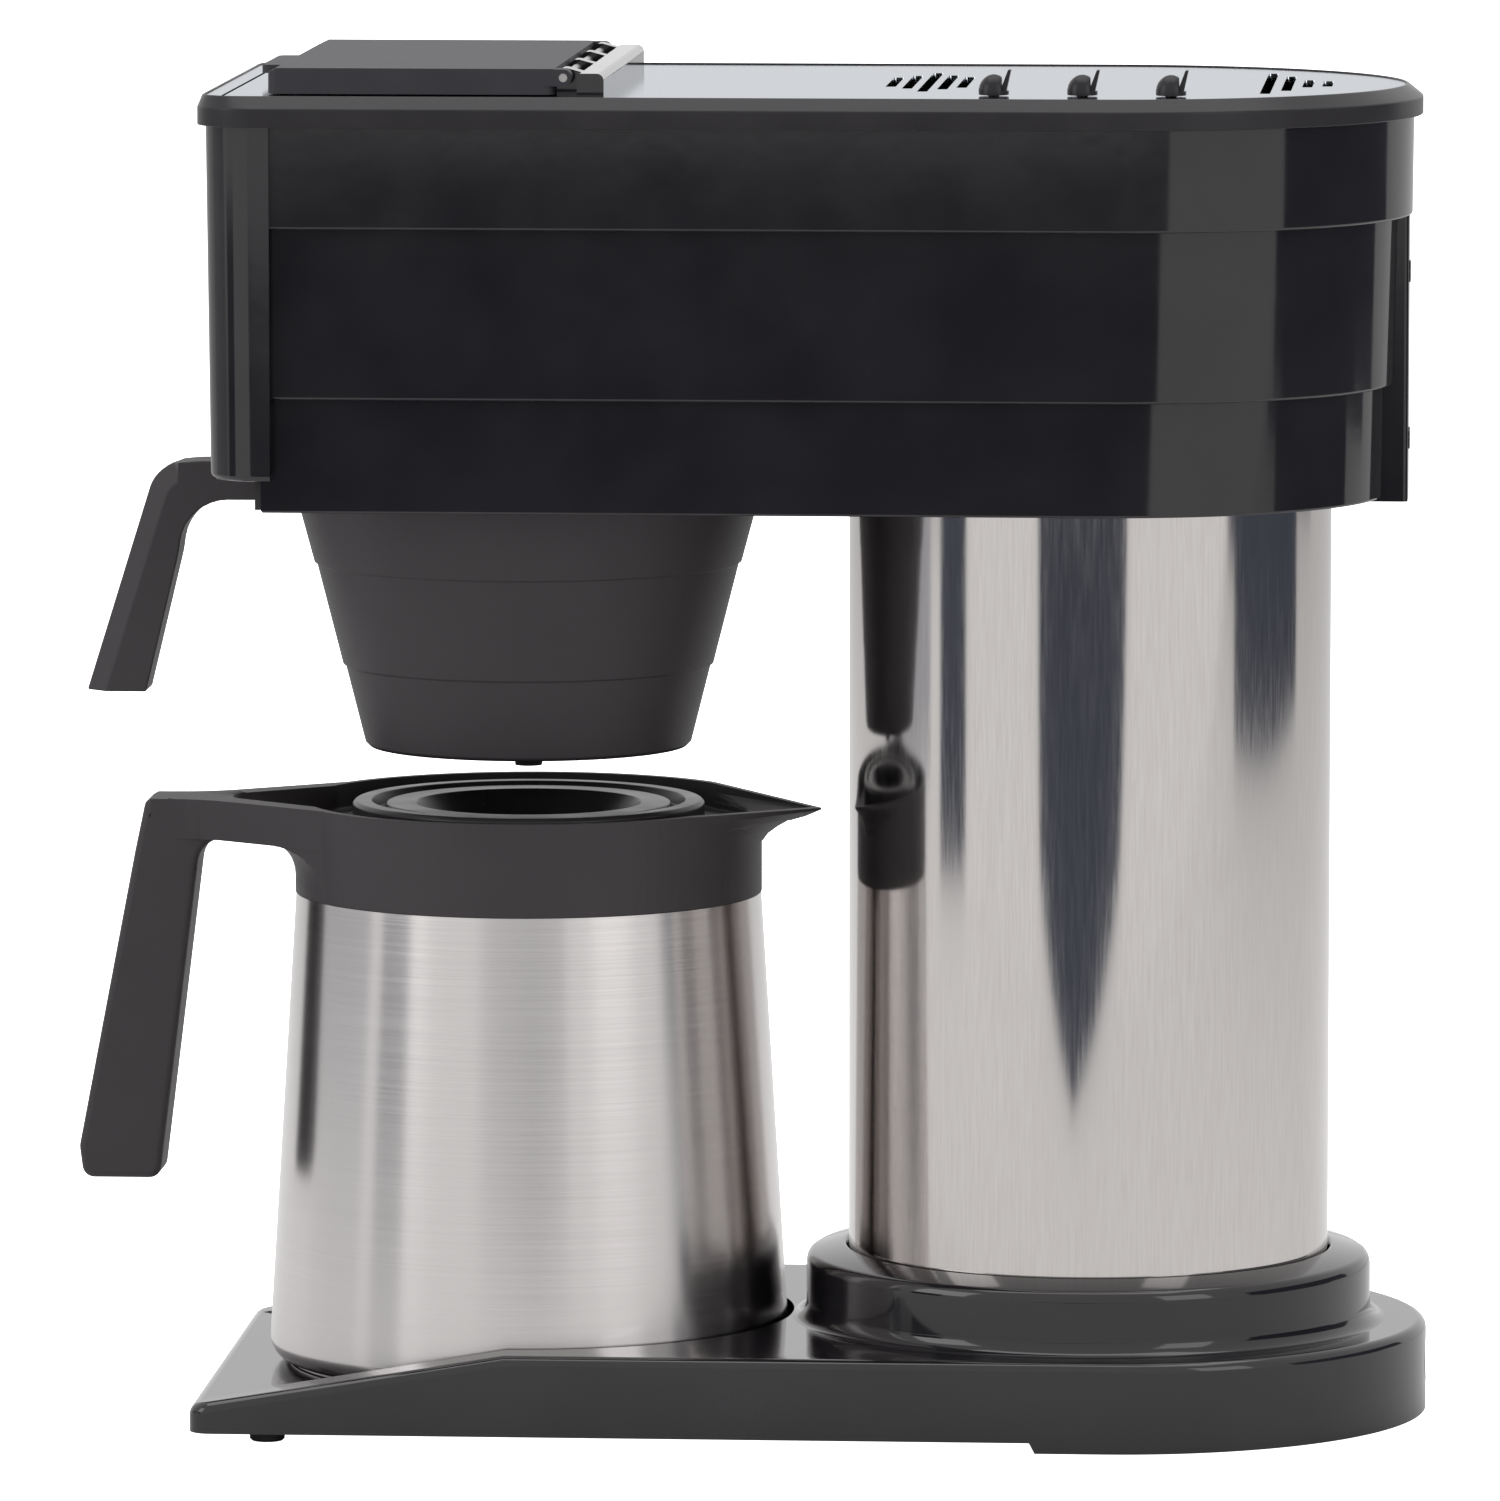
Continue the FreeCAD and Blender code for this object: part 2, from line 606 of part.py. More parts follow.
def vent_slots(z0, z1):
    slots = []
    for i, length in enumerate(FRONT_SLOT_LENGTHS):
        slots.append(slot(FRONT_SLOTS_X + i * SLOT_PITCH, length, z0, z1))
    for i, length in enumerate(REAR_SLOT_LENGTHS):
        slots.append(slot(REAR_SLOTS_X + i * REAR_SLOT_PITCH, length, z0, z1))
    return slots


def knob_places():
    return [COLUMN_X + step * KNOB_PITCH for step in (-1, 0, 1)]


def top_panel():
    low = PANEL_TOP_Z - PANEL_THICKNESS
    sheet = rim_plan(PANEL_INSET + 0.15, low, PANEL_TOP_Z)
    mouth = rounded_block(MOUTH_FRONT_X, MOUTH_BACK_X, -MOUTH_HALF, MOUTH_HALF, low - 1, HEIGHT, 6)
    holes = [cylinder(KNOB_SHAFT_R + 0.35, low - 1, HEIGHT, x, KNOB_Y) for x in knob_places()]
    return sheet.cut([mouth] + holes + vent_slots(low - 1, HEIGHT))


def hood_lid():
    low = LID_BOTTOM_Z
    body = rounded_block(LID_FRONT_X, LID_BACK_X, -LID_HALF, LID_HALF, low, HEIGHT, 3.0)
    body = body.cut(side_profile([
        (LID_FRONT_X - 1, HEIGHT - LID_BEVEL - 1, 0), (LID_FRONT_X + LID_BEVEL + 1, HEIGHT + 1, 0),
        (LID_FRONT_X - 1, HEIGHT + 1, 0)], 2 * LID_HALF))
    tab = rounded_block(TAB_FRONT_X, LID_FRONT_X + 6, -TAB_HALF, TAB_HALF, TAB_TOP_Z - 2.4, TAB_TOP_Z, 2.5)
    tab_root = box(LID_FRONT_X, LID_FRONT_X + 6, -TAB_HALF, TAB_HALF, low, TAB_TOP_Z)
    hollow = rounded_block(LID_FRONT_X + LID_WALL + 1, LID_BACK_X - LID_WALL, LID_WALL - LID_HALF,
                           LID_HALF - LID_WALL, low - 1, HEIGHT - LID_WALL, 2)
    pusher = cylinder(5, low + 0.4, HEIGHT - 1, VALVE_X, VALVE_Y)
    ears = []
    for side in (-1, 1):
        middle = side * (LID_HALF - 3.25)
        ears.append(side_profile([
            (LID_BACK_X - 4, HINGE_Z - KNUCKLE_R, 0), (HINGE_X + KNUCKLE_R, HINGE_Z - KNUCKLE_R, 2.3),
            (HINGE_X + KNUCKLE_R, HINGE_Z + KNUCKLE_R, 2.3), (LID_BACK_X - 4, HINGE_Z + KNUCKLE_R, 0),
        ], 3.25, middle))
    body = body.cut(hollow).fuse([tab, tab_root, pusher] + ears)
    pin_hole = Part.makeCylinder(PIN_R + 0.05, 2 * LID_HALF + 2, V(HINGE_X, -LID_HALF - 1, HINGE_Z), V(0, 1, 0))
    return body.cut(pin_hole).removeSplitter()


def hinge_bar():
    """Fixed bar behind the lid with two knuckles that hold the hinge pin."""
    bar = side_profile([
        (BAR_FRONT_X, PANEL_TOP_Z, 0), (BAR_BACK_X, PANEL_TOP_Z, 0),
        (BAR_BACK_X, BAR_TOP_Z, 2.0), (BAR_FRONT_X, BAR_TOP_Z, 1.0)], LID_HALF + 1.0)
    knuckles = []
    for y in (-62.0, -20.0, 20.0, 62.0):
        knuckles.append(side_profile([
            (HINGE_X - KNUCKLE_R, PANEL_TOP_Z, 0), (BAR_FRONT_X + 1, PANEL_TOP_Z, 0),
            (BAR_FRONT_X + 1, HINGE_Z + KNUCKLE_R - 1.2, 0), (HINGE_X + 0.6, HINGE_Z + KNUCKLE_R, 0),
            (HINGE_X - KNUCKLE_R, HINGE_Z + KNUCKLE_R, 2.3)], 4.0, y))
    pin_hole = Part.makeCylinder(PIN_R, 2 * LID_HALF, V(HINGE_X, -LID_HALF, HINGE_Z), V(0, 1, 0))
    return bar.fuse(knuckles).cut(pin_hole).removeSplitter()


def hinge_pin():
    return Part.makeCylinder(PIN_R, 2 * LID_HALF - 1, V(HINGE_X, 0.5 - LID_HALF, HINGE_Z), V(0, 1, 0))


def knob(x):
    """Small domed knob, cut flat at the back, with an upright pointer fin."""
    z = PANEL_TOP_Z + 0.3
    dome = Part.makeSphere(KNOB_R + 0.6, V(0, 0, z + KNOB_HEIGHT - KNOB_R - 0.6))
    dome = dome.fuse(cylinder(KNOB_R, z, z + KNOB_HEIGHT - KNOB_R))
    dome = dome.common(cylinder(KNOB_R, z, z + KNOB_HEIGHT))
    flat = box(KNOB_R * 0.55, KNOB_R + 2, -KNOB_R - 1, KNOB_R + 1, z + 1.2, HEIGHT)
    fin = side_profile([
        (KNOB_R * 0.4, z + 0.6, 0), (KNOB_R * 0.85, z + 0.6, 0),
        (KNOB_R * 1.2, z + KNOB_HEIGHT + 1.3, 0), (KNOB_R * 1.0, z + KNOB_HEIGHT + 1.3, 0)], 2.4)
    shaft = cylinder(KNOB_SHAFT_R, z - 12, z + 1)
    body = dome.cut(flat).fuse([fin, shaft]).removeSplitter()
    body.translate(V(x, KNOB_Y, 0))
    return body


def rotary_switches():
    top = PANEL_TOP_Z - PANEL_THICKNESS
    switches = []
    for x in knob_places():
        can = rounded_block(x - 7, x + 7, KNOB_Y - 7, KNOB_Y + 7, top - 14, top, 2)
        switches.append(can.cut(cylinder(KNOB_SHAFT_R + 0.35, top - 11, top + 1, x, KNOB_Y)))
    return Part.makeCompound(switches)


# Reservoir and its valve

def reservoir():
    top = PANEL_TOP_Z - PANEL_THICKNESS
    tub = rounded_block(RESERVOIR_FRONT_X, RESERVOIR_BACK_X, -RESERVOIR_HALF, RESERVOIR_HALF,
                        RESERVOIR_BOTTOM_Z, top, 8)
    w = RESERVOIR_WALL
    inside = rounded_block(RESERVOIR_FRONT_X + w, RESERVOIR_BACK_X - w, w - RESERVOIR_HALF,
                           RESERVOIR_HALF - w, RESERVOIR_BOTTOM_Z + w, top + 1, 6)
    drain = cylinder(DRAIN_R, RESERVOIR_BOTTOM_Z - 1, RESERVOIR_BOTTOM_Z + w + 1, VALVE_X, VALVE_Y)
    return tub.cut([inside, drain])


def valve_cup():
    cup = tube(CUP_R, CUP_R - 1.5, CUP_BOTTOM_Z, RESERVOIR_BOTTOM_Z, VALVE_X, VALVE_Y)
    floor = cylinder(CUP_R, CUP_BOTTOM_Z, CUP_BOTTOM_Z + 1.5, VALVE_X, VALVE_Y)
    outlet = Part.makeCylinder(TUBE_BORE_R, 4, V(VALVE_X + CUP_R - 3, VALVE_Y, CUP_BOTTOM_Z + 11.5), V(1, 0, 0))
    return cup.fuse(floor).cut(outlet).removeSplitter()


VALVE_PLUG_TOP_Z = RESERVOIR_BOTTOM_Z - VALVE_LIFT - 2.3


def valve_rod():
    rod = cylinder(VALVE_ROD_R, VALVE_PLUG_TOP_Z - 2, LID_BOTTOM_Z, VALVE_X, VALVE_Y)
    plug = cylinder(8.0, VALVE_PLUG_TOP_Z - 2.5, VALVE_PLUG_TOP_Z, VALVE_X, VALVE_Y)
    return rod.fuse(plug).removeSplitter()


def valve_seal():
    return tube(8.0, VALVE_ROD_R, VALVE_PLUG_TOP_Z, VALVE_PLUG_TOP_Z + 2.0, VALVE_X, VALVE_Y)


# Funnel

def brew_funnel():
    cone = revolved([(0, FUNNEL_BOTTOM_Z)]
                    + [(FUNNEL_CONE[0][1] - 1.2, FUNNEL_BOTTOM_Z)]
                    + [(r, z) for z, r in FUNNEL_CONE]
                    + [(FUNNEL_CONE[-1][1], FUNNEL_TOP_Z), (0, FUNNEL_TOP_Z)], CARAFE_X)
    nub = cylinder(4.6, FUNNEL_BOTTOM_Z - 1.3, FUNNEL_BOTTOM_Z + 1, CARAFE_X)
    flange = cylinder(FUNNEL_FLANGE_R, RAIL_TOP_Z + 0.4, FUNNEL_TOP_Z, CARAFE_X)
    grip = side_profile([
        (CARAFE_X - 62, 271.8, 0), (CARAFE_X - 94, 274.0, 6), (CARAFE_X - 107.5, 272.6, 5),
        (CARAFE_X - 119.2, 242.0, 60), (CARAFE_X - 126.6, 206.7, 1.5), (CARAFE_X - 110.4, 206.7, 1.5),
        (CARAFE_X - 97.6, 250.0, 8), (CARAFE_X - 94.5, 262.0, 7), (CARAFE_X - 62, 262.6, 0),
    ], FUNNEL_GRIP_HALF)
    grip = grip.makeFillet(1.6, [e for e in grip.Edges
                                 if abs(abs(e.CenterOfMass.y) - FUNNEL_GRIP_HALF) < 0.01
                                 and e.BoundBox.XMax < CARAFE_X - 62.5])
    inside = revolved([(0, FUNNEL_BOTTOM_Z + 2.5), (FUNNEL_CONE[0][1] - 6, FUNNEL_BOTTOM_Z + 3.5),
                       (FUNNEL_CONE[0][1] - FUNNEL_WALL, FUNNEL_BOTTOM_Z + 6)]
                      + [(r - FUNNEL_WALL, z) for z, r in FUNNEL_CONE if z > FUNNEL_BOTTOM_Z + 10]
                      + [(FUNNEL_CONE[-1][1] - FUNNEL_WALL, FUNNEL_TOP_Z + 5), (0, FUNNEL_TOP_Z + 5)], CARAFE_X)
    outlet = cylinder(FUNNEL_OUTLET_R, FUNNEL_BOTTOM_Z - 3, FUNNEL_BOTTOM_Z + 5, CARAFE_X)
    return cone.fuse([nub, flange, grip]).cut([inside, outlet]).removeSplitter()


# Carafe

def carafe_shell():
    """Outer steel wall: rounded foot, straight taper, and a shoulder that rises into the collar."""
    t = SHEET
    outside = [(CARAFE_FOOT_R, CARAFE_BOTTOM_Z + 1.0), (CARAFE_FOOT_R + 2.2, CARAFE_BOTTOM_Z + 2.2),
               (CARAFE_LOW_R - 0.5, CARAFE_LOW_Z - 2.2), (CARAFE_LOW_R, CARAFE_LOW_Z),
               (CARAFE_JOINT_R, CARAFE_JOINT_Z), (NECK_R + 2, NECK_TOP_Z - 4), (NECK_R + 2, NECK_TOP_Z)]
    inside = [(r - t, z - (0.0 if z < CARAFE_JOINT_Z else 1.0)) for r, z in reversed(outside[:-1])]
    return revolved(outside + [(NECK_R + 2 - t, NECK_TOP_Z)] + inside, CARAFE_X)


def carafe_liner():
    t = SHEET
    outside = [(0, CARAFE_BOTTOM_Z + 8), (CARAFE_FOOT_R - 12, CARAFE_BOTTOM_Z + 8),
               (CARAFE_LOW_R - 5, CARAFE_LOW_Z + 10), (CARAFE_JOINT_R - 5, CARAFE_JOINT_Z - 4),
               (NECK_R + 0.6, NECK_TOP_Z - 8), (NECK_R + 0.6, NECK_TOP_Z)]
    inside = [(NECK_R + 0.6 - t, NECK_TOP_Z), (NECK_R + 0.6 - t, NECK_TOP_Z - 8.6),
              (CARAFE_JOINT_R - 5 - t, CARAFE_JOINT_Z - 4.6), (CARAFE_LOW_R - 5 - t, CARAFE_LOW_Z + 10.4),
              (CARAFE_FOOT_R - 12.6, CARAFE_BOTTOM_Z + 8 + t), (0, CARAFE_BOTTOM_Z + 8 + t)]
    return revolved(outside + inside, CARAFE_X)


def carafe_foot():
    return revolved([(0, CARAFE_BOTTOM_Z + 1.5), (CARAFE_FOOT_R - 9, CARAFE_BOTTOM_Z + 1.5),
                     (CARAFE_FOOT_R - 8, CARAFE_BOTTOM_Z), (CARAFE_FOOT_R - 1.2, CARAFE_BOTTOM_Z),
                     (CARAFE_FOOT_R - 1.2, CARAFE_BOTTOM_Z + 3), (0, CARAFE_BOTTOM_Z + 3)], CARAFE_X)


def lemon_wire(ring_r, tip, z):
    """Circle drawn out to a small rounded spout tip along +X."""
    nose = 1.2
    reach = tip - nose
    lean = math.acos((ring_r - nose) / reach)
    c, s = math.cos(lean), math.sin(lean)
    near = V(CARAFE_X + ring_r * c, -ring_r * s, z)
    far = V(CARAFE_X + ring_r * c, ring_r * s, z)
    nose_near = V(CARAFE_X + reach + nose * c, -nose * s, z)
    nose_far = V(CARAFE_X + reach + nose * c, nose * s, z)
    return Part.Wire([
        Part.Arc(far, V(CARAFE_X - ring_r, 0, z), near).toShape(),
        Part.LineSegment(near, nose_near).toShape(),
        Part.Arc(nose_near, V(CARAFE_X + tip, 0, z), nose_far).toShape(),
        Part.LineSegment(nose_far, far).toShape(),
    ])


def spout_solid(ring_r, tip, low, high, top):
    """Spout whose tip swings outwards as it rises from low to high, then stays upright to top."""
    least = ring_r + 0.4
    wires = []
    steps = 5
    for i in range(steps + 1):
        share = i / steps
        wires.append(lemon_wire(ring_r, least + (tip - least) * share ** 1.5, low + (high - low) * share))
    flare = Part.makeLoft(wires, True, True)
    upright = Part.Face(lemon_wire(ring_r, tip, high)).extrude(V(0, 0, top - high))
    return flare.fuse(upright)


def carafe_collar():
    """One moulding: ring round the neck, pouring spout at the back and the open handle in front."""
    ring = revolved([(CARAFE_JOINT_R - 0.6, CARAFE_JOINT_Z + 0.2), (COLLAR_RING_R, CARAFE_JOINT_Z + 0.2),
                     (COLLAR_RING_R, CARAFE_TOP_Z), (LID_WELL_R, CARAFE_TOP_Z), (LID_WELL_R, NECK_TOP_Z + 0.3),
                     (NECK_R + 2.4, NECK_TOP_Z + 0.3), (NECK_R + 2.4, NECK_TOP_Z - 3.4)], CARAFE_X)
    spout = spout_solid(COLLAR_RING_R, SPOUT_TIP, SPOUT_LOW_Z, SPOUT_TIP_Z, CARAFE_TOP_Z)
    bar_low = 164.3
    web = plan_profile([(CARAFE_X - 20, -64.0, 0), (CARAFE_X - 94, -HANDLE_HALF, 30),
                        (CARAFE_X - 104, -HANDLE_HALF, 0), (CARAFE_X - 104, HANDLE_HALF, 0),
                        (CARAFE_X - 94, HANDLE_HALF, 30), (CARAFE_X - 20, 64.0, 0)], bar_low, CARAFE_TOP_Z)
    web = web.cut(cylinder(LEMON_R, bar_low - 1, HEIGHT, CARAFE_X))
    grip = side_profile([
        (CARAFE_X - 64.8, CARAFE_TOP_Z, 0), (CARAFE_X - 110.6, CARAFE_TOP_Z, 7),
        (HANDLE_TIP_X, 74.0, 6), (HANDLE_TIP_X + 1.2, 64.8, 3.5), (CARAFE_X - 107.0, 64.8, 3.5),
        (CARAFE_X - 94.6, bar_low, 8), (CARAFE_X - 78, bar_low, 14), (CARAFE_X - 66.6, 152.0, 0),
        (CARAFE_X - 64.8, 152.0, 0)], HANDLE_HALF)
    grip = grip.makeFillet(2.2, [e for e in grip.Edges
                                 if abs(abs(e.CenterOfMass.y) - HANDLE_HALF) < 0.01
                                 and e.BoundBox.XMax < CARAFE_X - 70 and e.BoundBox.ZMin < 160])
    pocket = spout_solid(LEMON_R, SPOUT_TIP - 3.0, WELL_FLOOR_Z, SPOUT_TIP_Z, HEIGHT)
    hand_well = plan_profile([(CARAFE_X - 20, -58.0, 0), (CARAFE_X - 86, -5.0, 8), (CARAFE_X - 86, 5.0, 8),
                              (CARAFE_X - 20, 58.0, 0)], WELL_FLOOR_Z, HEIGHT)
    hand_well = hand_well.cut(cylinder(LEMON_R - 1, WELL_FLOOR_Z, HEIGHT, CARAFE_X))
    pour_slope = side_profile([
        (CARAFE_X + 50, CARAFE_TOP_Z, 0), (CARAFE_X + SPOUT_TIP + 5, SPOUT_TIP_Z + 0.2, 0),
        (CARAFE_X + SPOUT_TIP + 5, HEIGHT, 0), (CARAFE_X + 50, HEIGHT, 0)], HALF_WIDTH)
    lid_well = cylinder(LID_WELL_R, NECK_TOP_Z + 0.3, HEIGHT, CARAFE_X)
    body = ring.fuse([spout.cut(cylinder(LEMON_R, 0, HEIGHT, CARAFE_X)), web, grip])
    return body.cut([pocket, hand_well, pour_slope, lid_well]).removeSplitter()


def carafe_lid():
    """Ringed drop-in lid with a dished middle that lets the coffee through."""
    top = CARAFE_TOP_Z - 0.4
    seat = NECK_TOP_Z + 2.0
    return revolved([
        (BREW_HOLE_R, seat - 1.0), (NECK_R - 3.0, seat - 5.0), (NECK_R - 3.0, seat), (CARAFE_LID_R, seat),
        (CARAFE_LID_R, top - 1.0), (CARAFE_LID_R - 1.0, top), (CARAFE_LID_R - 5.5, top),
        (CARAFE_LID_R - 6.5, top - 3.5), (42.0, top - 3.5), (41.0, top - 0.8), (36.0, top - 0.8),
        (34.5, top - 4.0), (32.0, top - 8.0), (BREW_HOLE_R, seat + 2.5)], CARAFE_X)


def carafe_lid_gasket():
    seat = NECK_TOP_Z + 2.0
    return tube(NECK_R - 1.0, NECK_R - 3.0, seat - 4.0, seat - 1.0, CARAFE_X)


PARTS = {
    "base_housing": base_housing,
    "base_bottom_plate": base_bottom_plate,
    "base_screws": base_screws,
    "rubber_feet": rubber_feet,
    "cord_gland": cord_gland,
    "column_shell": column_shell,
    "water_tank": water_tank,
    "tank_gasket": tank_gasket,
    "tank_lid": tank_lid,
    "heating_element": heating_element,
    "thermostat": thermostat,
    "fill_tube": fill_tube,
    "spray_tube": spray_tube,
    "sprayhead": sprayhead,
    "head_housing": head_housing,
    "head_floor": head_floor,
    "funnel_carrier": funnel_carrier,
    "front_fascia": front_fascia,
    "rear_spacer": rear_spacer,
    "spacer_screws": spacer_screws,
    "hood_rim": hood_rim,
    "top_panel": top_panel,
    "hood_lid": hood_lid,
    "hinge_bar": hinge_bar,
    "hinge_pin": hinge_pin,
    "rotary_switches": rotary_switches,
    "reservoir": reservoir,
    "valve_cup": valve_cup,
    "valve_rod": valve_rod,
    "valve_seal": valve_seal,
    "brew_funnel": brew_funnel,
    "carafe_shell": carafe_shell,
    "carafe_liner": carafe_liner,
    "carafe_foot": carafe_foot,
    "carafe_collar": carafe_collar,
    "carafe_lid": carafe_lid,
    "carafe_lid_gasket": carafe_lid_gasket,
}

os.makedirs("parts", exist_ok=True)
for name, make in PARTS.items():
    make().exportStep("parts/" + name + ".step")
for place, x in zip(("front", "middle", "rear"), knob_places()):
    knob(x).exportStep("parts/knob_" + place + ".step")
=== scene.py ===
import bmesh
import bpy
import math
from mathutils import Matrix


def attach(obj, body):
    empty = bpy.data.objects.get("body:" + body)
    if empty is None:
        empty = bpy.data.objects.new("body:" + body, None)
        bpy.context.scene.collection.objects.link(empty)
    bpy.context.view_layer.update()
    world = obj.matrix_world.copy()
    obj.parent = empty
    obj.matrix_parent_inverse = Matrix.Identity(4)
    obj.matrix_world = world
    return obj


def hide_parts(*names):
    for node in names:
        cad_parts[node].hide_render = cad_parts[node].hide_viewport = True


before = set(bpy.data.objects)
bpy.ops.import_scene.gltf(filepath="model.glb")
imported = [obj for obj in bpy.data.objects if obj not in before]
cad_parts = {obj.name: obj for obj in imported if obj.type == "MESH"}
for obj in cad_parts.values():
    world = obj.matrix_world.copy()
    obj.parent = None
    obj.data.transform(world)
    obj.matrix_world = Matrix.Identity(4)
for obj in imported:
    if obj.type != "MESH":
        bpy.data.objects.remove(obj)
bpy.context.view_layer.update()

# Base housing: one gloss black injection moulding in ABS. A low slab with a bay for the carafe,
# side walls that slope down to the front lip, a skirt at the back and a raised collar that
# takes the foot of the column.
MM = 0.001
BASE_FRONT = -155.0
BASE_REAR = 195.5
BASE_HALF = 90.15
BASE_CORNER = 6.0
BASE_TOP = 26.5
BASE_BOTTOM = 3.4
BASE_WALL = 3.0
BASE_EDGE = 3.0
LIP_TOP = 11.4
DECK = 12.0
SKIRT_BOTTOM = 0.4
SKIRT_FRONT = 84.6
PLATE_SEAT = 5.75
BAY_RADIUS = 77.0
CARAFE_X = -65.0
COLUMN_X = 97.5
WELL_RADIUS = 69.8
WELL_FLOOR = 30.0
COLLAR_RADIUS = 81.7
COLLAR_ROOT = 24.0
# radius and height from the collar's wall over its rounded edge and sloping top to the well
COLLAR_TOP = [(COLLAR_RADIUS, 42.2), (81.4, 43.7), (80.7, 44.9), (79.5, 45.7), (71.2, 47.7),
              (70.3, 47.5), (WELL_RADIUS, 46.8)]
FOOT_FILLET = 4.6
GLAND_RADIUS = 6.6
GLAND_Z = 14.5
# share of the half width that each bevel of a half-round end takes, so that the two never meet
FULL_ROUND = 0.9995
ROUND_STEPS = 56
QUARTER = [math.radians(90 * i / 8) for i in range(9)]
# a face counts as square to an axis when its normal has more than this along it
SQUARE = 0.9


def block(name, x0, x1, y0, y1, z0, z1):
    """New box between two corners given in millimetres."""
    bpy.ops.object.select_all(action="DESELECT")
    centre = [(x0 + x1) / 2 * MM, (y0 + y1) / 2 * MM, (z0 + z1) / 2 * MM]
    bpy.ops.mesh.primitive_cube_add(size=MM, location=centre, scale=(x1 - x0, y1 - y0, z1 - z0))
    bpy.ops.object.transform_apply(location=True, rotation=True, scale=True)
    piece = bpy.context.object
    piece.name = name
    return piece


def rod(name, radius, length, x, y, z, sides, turn=(0, 0, 0)):
    """New cylinder round a middle given in millimetres, upright unless it is turned."""
    bpy.ops.object.select_all(action="DESELECT")
    bpy.ops.mesh.primitive_cylinder_add(vertices=sides, radius=radius * MM, depth=length * MM,
                                        rotation=turn, location=(x * MM, y * MM, z * MM))
    bpy.ops.object.transform_apply(location=True, rotation=True, scale=True)
    piece = bpy.context.object
    piece.name = name
    return piece


def edit():
    bpy.ops.object.mode_set(mode="EDIT")


def leave():
    bpy.ops.object.mode_set(mode="OBJECT")


def pick(kind, test):
    """In edit mode, selects the vertices, edges or faces that pass the test, and nothing else."""
    bpy.ops.mesh.select_mode(type=kind)
    bpy.ops.mesh.select_all(action="DESELECT")
    shape = bmesh.from_edit_mesh(bpy.context.object.data)
    shape.normal_update()
    items = {"VERT": shape.verts, "EDGE": shape.edges, "FACE": shape.faces}[kind]
    for item in items:
        if test(item):
            item.select_set(True)
    shape.select_flush_mode()
    bmesh.update_edit_mesh(bpy.context.object.data)


def middle(item):
    """Middle of an edge or a face in millimetres."""
    total = sum((v.co for v in item.verts), item.verts[0].co * 0)
    return total / len(item.verts) / MM


def upright(edge):
    """Whether an edge stands upright and is longer than 1.5 mm."""
    a, b = (v.co for v in edge.verts)
    return abs(a.z - b.z) > 1.5 * MM and (a.xy - b.xy).length < 0.01 * MM


def bevel(width, segments):
    """In edit mode, rounds or chamfers the selected edges."""
    bpy.ops.mesh.bevel(offset=width * MM, segments=segments, affect="EDGES")


def round_corners(radius, segments, after=-math.inf, before=math.inf):
    """In edit mode, rounds the upright edges whose x lies between two places."""
    pick("EDGE", lambda e: upright(e) and after < middle(e).x < before)
    bevel(radius, segments)


def weld(gap):
    """In edit mode, merges all vertices that are closer than the gap."""
    bpy.ops.mesh.select_all(action="SELECT")
    bpy.ops.mesh.remove_doubles(threshold=gap * MM)


def d_plan(name, front, rear, half, corner, low, high):
    """Block with a half-round back, and rounded front corners unless their radius is 0."""
    piece = block(name, front, rear, -half, half, low, high)
    edit()
    round_corners(half * FULL_ROUND, ROUND_STEPS, after=front + 1)
    if corner:
        round_corners(corner, 10, before=front + 1)
    weld(0.02)
    leave()
    return piece


def fit(piece, cutter, operation):
    """Cuts or joins one solid with another and removes the tool."""
    bpy.context.view_layer.update()
    bpy.context.view_layer.objects.active = piece
    change = piece.modifiers.new("fit", "BOOLEAN")
    change.operation = operation
    change.solver = "EXACT"
    change.object = cutter
    bpy.ops.object.modifier_apply(modifier="fit")
    bpy.data.objects.remove(cutter)


def alone(piece):
    """Selects one object and nothing else."""
    bpy.ops.object.select_all(action="DESELECT")
    piece.select_set(True)
    bpy.context.view_layer.objects.active = piece


def soften(piece, width, segments, angle):
    """Rounds every edge that is sharper than the angle, then smooths the shading."""
    alone(piece)
    round_off = piece.modifiers.new("round", "BEVEL")
    round_off.width = width * MM
    round_off.segments = segments
    round_off.limit_method = "ANGLE"
    round_off.angle_limit = math.radians(angle)
    bpy.ops.object.modifier_apply(modifier="round")
    smooth(piece)


def smooth(piece, angle=35):
    """Shades a piece smoothly except at edges that are sharper than the angle."""
    alone(piece)
    bpy.ops.object.shade_smooth_by_angle(angle=math.radians(angle))
    steady = piece.modifiers.new("steady", "WEIGHTED_NORMAL")
    steady.keep_sharp = True
    bpy.ops.object.modifier_apply(modifier="steady")


def drawn(name, points):
    """New line of vertices through points given in millimetres, left in edit mode."""
    bpy.ops.object.select_all(action="DESELECT")
    bpy.ops.mesh.primitive_plane_add(size=MM, location=(0, 0, 0))
    piece = bpy.context.object
    piece.name = name
    edit()
    bpy.ops.mesh.select_mode(type="VERT")
    bpy.ops.mesh.select_all(action="SELECT")
    bpy.ops.mesh.merge(type="CENTER")
    bpy.ops.transform.translate(value=[c * MM for c in points[0]])
    for a, b in zip(points, points[1:]):
        step = [(q - p) * MM for p, q in zip(a, b)]
        bpy.ops.mesh.extrude_vertices_move(TRANSFORM_OT_translate={"value": step})
    return piece


